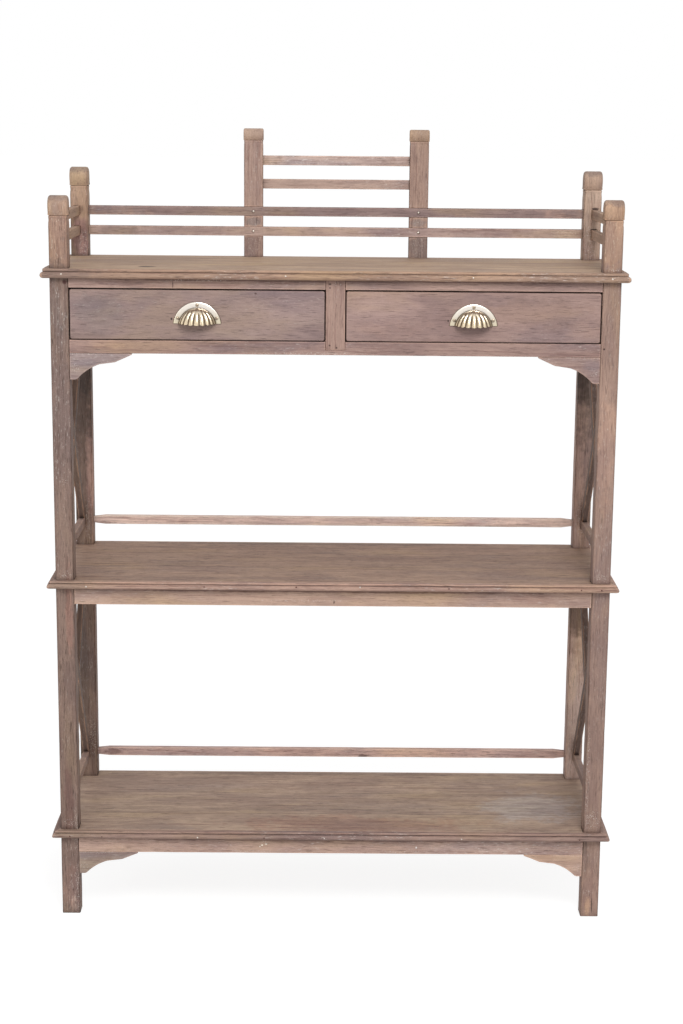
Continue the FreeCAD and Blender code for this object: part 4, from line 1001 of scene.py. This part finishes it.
def slotted_screw(shape, centre, lean):
    """A domed head with one slot."""
    stations = (-0.995, -0.9, -0.7, -0.45, -0.2, -0.15, 0.15, 0.2, 0.45, 0.7, 0.9, 0.995)
    rows = []
    for across in stations:
        row = []
        for step in range(9):
            along = (step / 4 - 1) * math.sqrt(1 - across ** 2)
            reach = min(1.0, math.hypot(across, along))
            rise = SCREW_RISE * (0.25 + 0.75 * math.sqrt(1 - 0.98 * reach ** 2))
            if abs(across) < SLOT_SHARE:
                rise -= SLOT_DEPTH
            x = SCREW_RADIUS * (across * math.cos(lean) - along * math.sin(lean))
            z = SCREW_RADIUS * (across * math.sin(lean) + along * math.cos(lean))
            row.append(shape.verts.new((Vector(centre) + Vector((x, -max(rise, 0.1), z))) * MM))
        rows.append(row)
    made = []
    for first, second in zip(rows, rows[1:]):
        for step in range(8):
            made.append(shape.faces.new((first[step], first[step + 1], second[step + 1], second[step])))
    rim = [edge for face in made for edge in face.edges if edge.is_boundary]
    skirt = bmesh.ops.extrude_edge_only(shape, edges=list(dict.fromkeys(rim)))
    base = [item for item in skirt["geom"] if isinstance(item, bmesh.types.BMVert)]
    for vert in base:
        vert.co.y = Vector(centre).y * MM
    made += [item for item in skirt["geom"] if isinstance(item, bmesh.types.BMFace)]
    bmesh.ops.recalc_face_normals(shape, faces=made)


screw_brass = dulled("screw_brass_dull", (176, 160, 140), (48, 38, 32), 0.35, 1.5, open_to=0.93)
for side, sign in (("left", -1), ("right", 1)):
    low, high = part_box(f"{side}_cup_pull")
    centre_x = (low.x + high.x) / 2 / MM
    casting = bmesh.new()
    pull_flange(casting, centre_x)
    pull_shell(casting, centre_x)
    pull = fitted(f"{side}_fluted_pull", casting, brass, f"{side}_drawer", smooth=40)
    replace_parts(pull, f"{side}_cup_pull")
    ring = FLANGE_RADIUS - FLANGE_BAND / 2
    screws = bmesh.new()
    for index, angle in enumerate(SCREW_TURNS):
        turn = math.radians(angle)
        spot = (centre_x + ring * math.cos(turn), FRONT - 1.9,
                PULL_BASE - FLANGE_SINK + ring * math.sin(turn))
        slotted_screw(screws, spot, 0.5 + 1.1 * index + sign * 0.3)
    piece = fitted(f"{side}_slotted_screws", screws, screw_brass, f"{side}_drawer", smooth=30)
    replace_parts(piece, f"{side}_pull_screws")

# Studio: a pale floor under a white surround, one broad soft lamp above the front and a weaker one
# at the left. The camera stands where the photograph was taken from.

STAND = Vector((-7.17, -3922.26, 1625.05)) * MM
YAW = math.radians(-0.34)
PITCH = math.radians(90 - 11.73)
ROLL = math.radians(0.53)
FOCAL_PIXELS = 1948.8
PICTURE_HEIGHT = 1024
SENSOR = 36.0
FLOOR_REACH = 60

camera_data = bpy.data.cameras.new("photo_camera")
camera_data.sensor_fit = "VERTICAL"
camera_data.sensor_height = SENSOR
camera_data.lens = FOCAL_PIXELS * SENSOR / PICTURE_HEIGHT
camera = placed("photo_camera", camera_data)
aim = Matrix.Rotation(YAW, 4, "Z") @ Matrix.Rotation(PITCH, 4, "X") @ Matrix.Rotation(ROLL, 4, "Z")
camera.matrix_world = Matrix.Translation(STAND) @ aim
bpy.context.scene.camera = camera


def directly_seen(start):
    """1 for what the lens sees, in bare metal too, and 0 for light on its way to the wood."""
    seen = start.add("ShaderNodeLightPath", {}, {}, "Is Camera Ray")
    for ray in ("Is Glossy Ray", "Is Transmission Ray"):
        seen = seen.math("MAXIMUM", start.add("ShaderNodeLightPath", {}, {}, ray))
    return seen


corners = [(-FLOOR_REACH, -FLOOR_REACH, 0), (FLOOR_REACH, -FLOOR_REACH, 0), (FLOOR_REACH, FLOOR_REACH, 0),
           (-FLOOR_REACH, FLOOR_REACH, 0)]
floor_mesh = bpy.data.meshes.new("studio_floor")
floor_mesh.from_pydata(corners, [], [(0, 1, 2, 3)])
studio_floor = placed("studio_floor", floor_mesh)
floor_paint = bpy.data.materials.new("floor_paint")
floor_paint.use_nodes = True
start = Signal(floor_paint.node_tree)
glow = start.add("ShaderNodeEmission", {}, {"Color": (1, 1, 1, 1), "Strength": 1.2})
plain = start.add("ShaderNodeBsdfDiffuse", {}, {"Color": (0.86, 0.86, 0.86, 1)})
both = start.add("ShaderNodeMixShader", {}, {0: directly_seen(start) * 0.72, 1: plain, 2: glow})
both.feed(floor_paint.node_tree.nodes["Material Output"], "Surface")
studio_floor.data.materials.append(floor_paint)

world = bpy.data.worlds.new("studio")
bpy.context.scene.world = world
world.use_nodes = True
sky = world.node_tree.nodes["Background"]
sky.inputs["Color"].default_value = (1, 1, 1, 1)
strength = 0.62 + directly_seen(Signal(world.node_tree)) * 0.38
strength.feed(sky, "Strength")


def lamp(name, place, size, power):
    """A round soft lamp that faces the middle of the unit."""
    light = bpy.data.lights.new(name, "AREA")
    light.shape = "DISK"
    light.size = size
    light.energy = power
    piece = placed(name, light)
    piece.location = place
    piece.rotation_euler = (Vector((0, 0, 0.8)) - Vector(place)).to_track_quat("-Z", "Y").to_euler()


lamp("key_lamp", (0.6, -3.0, 3.5), 1.5, 88)
lamp("fill_lamp", (-2.6, -2.4, 1.8), 1.6, 12)

bpy.context.scene.view_settings.view_transform = "Standard"
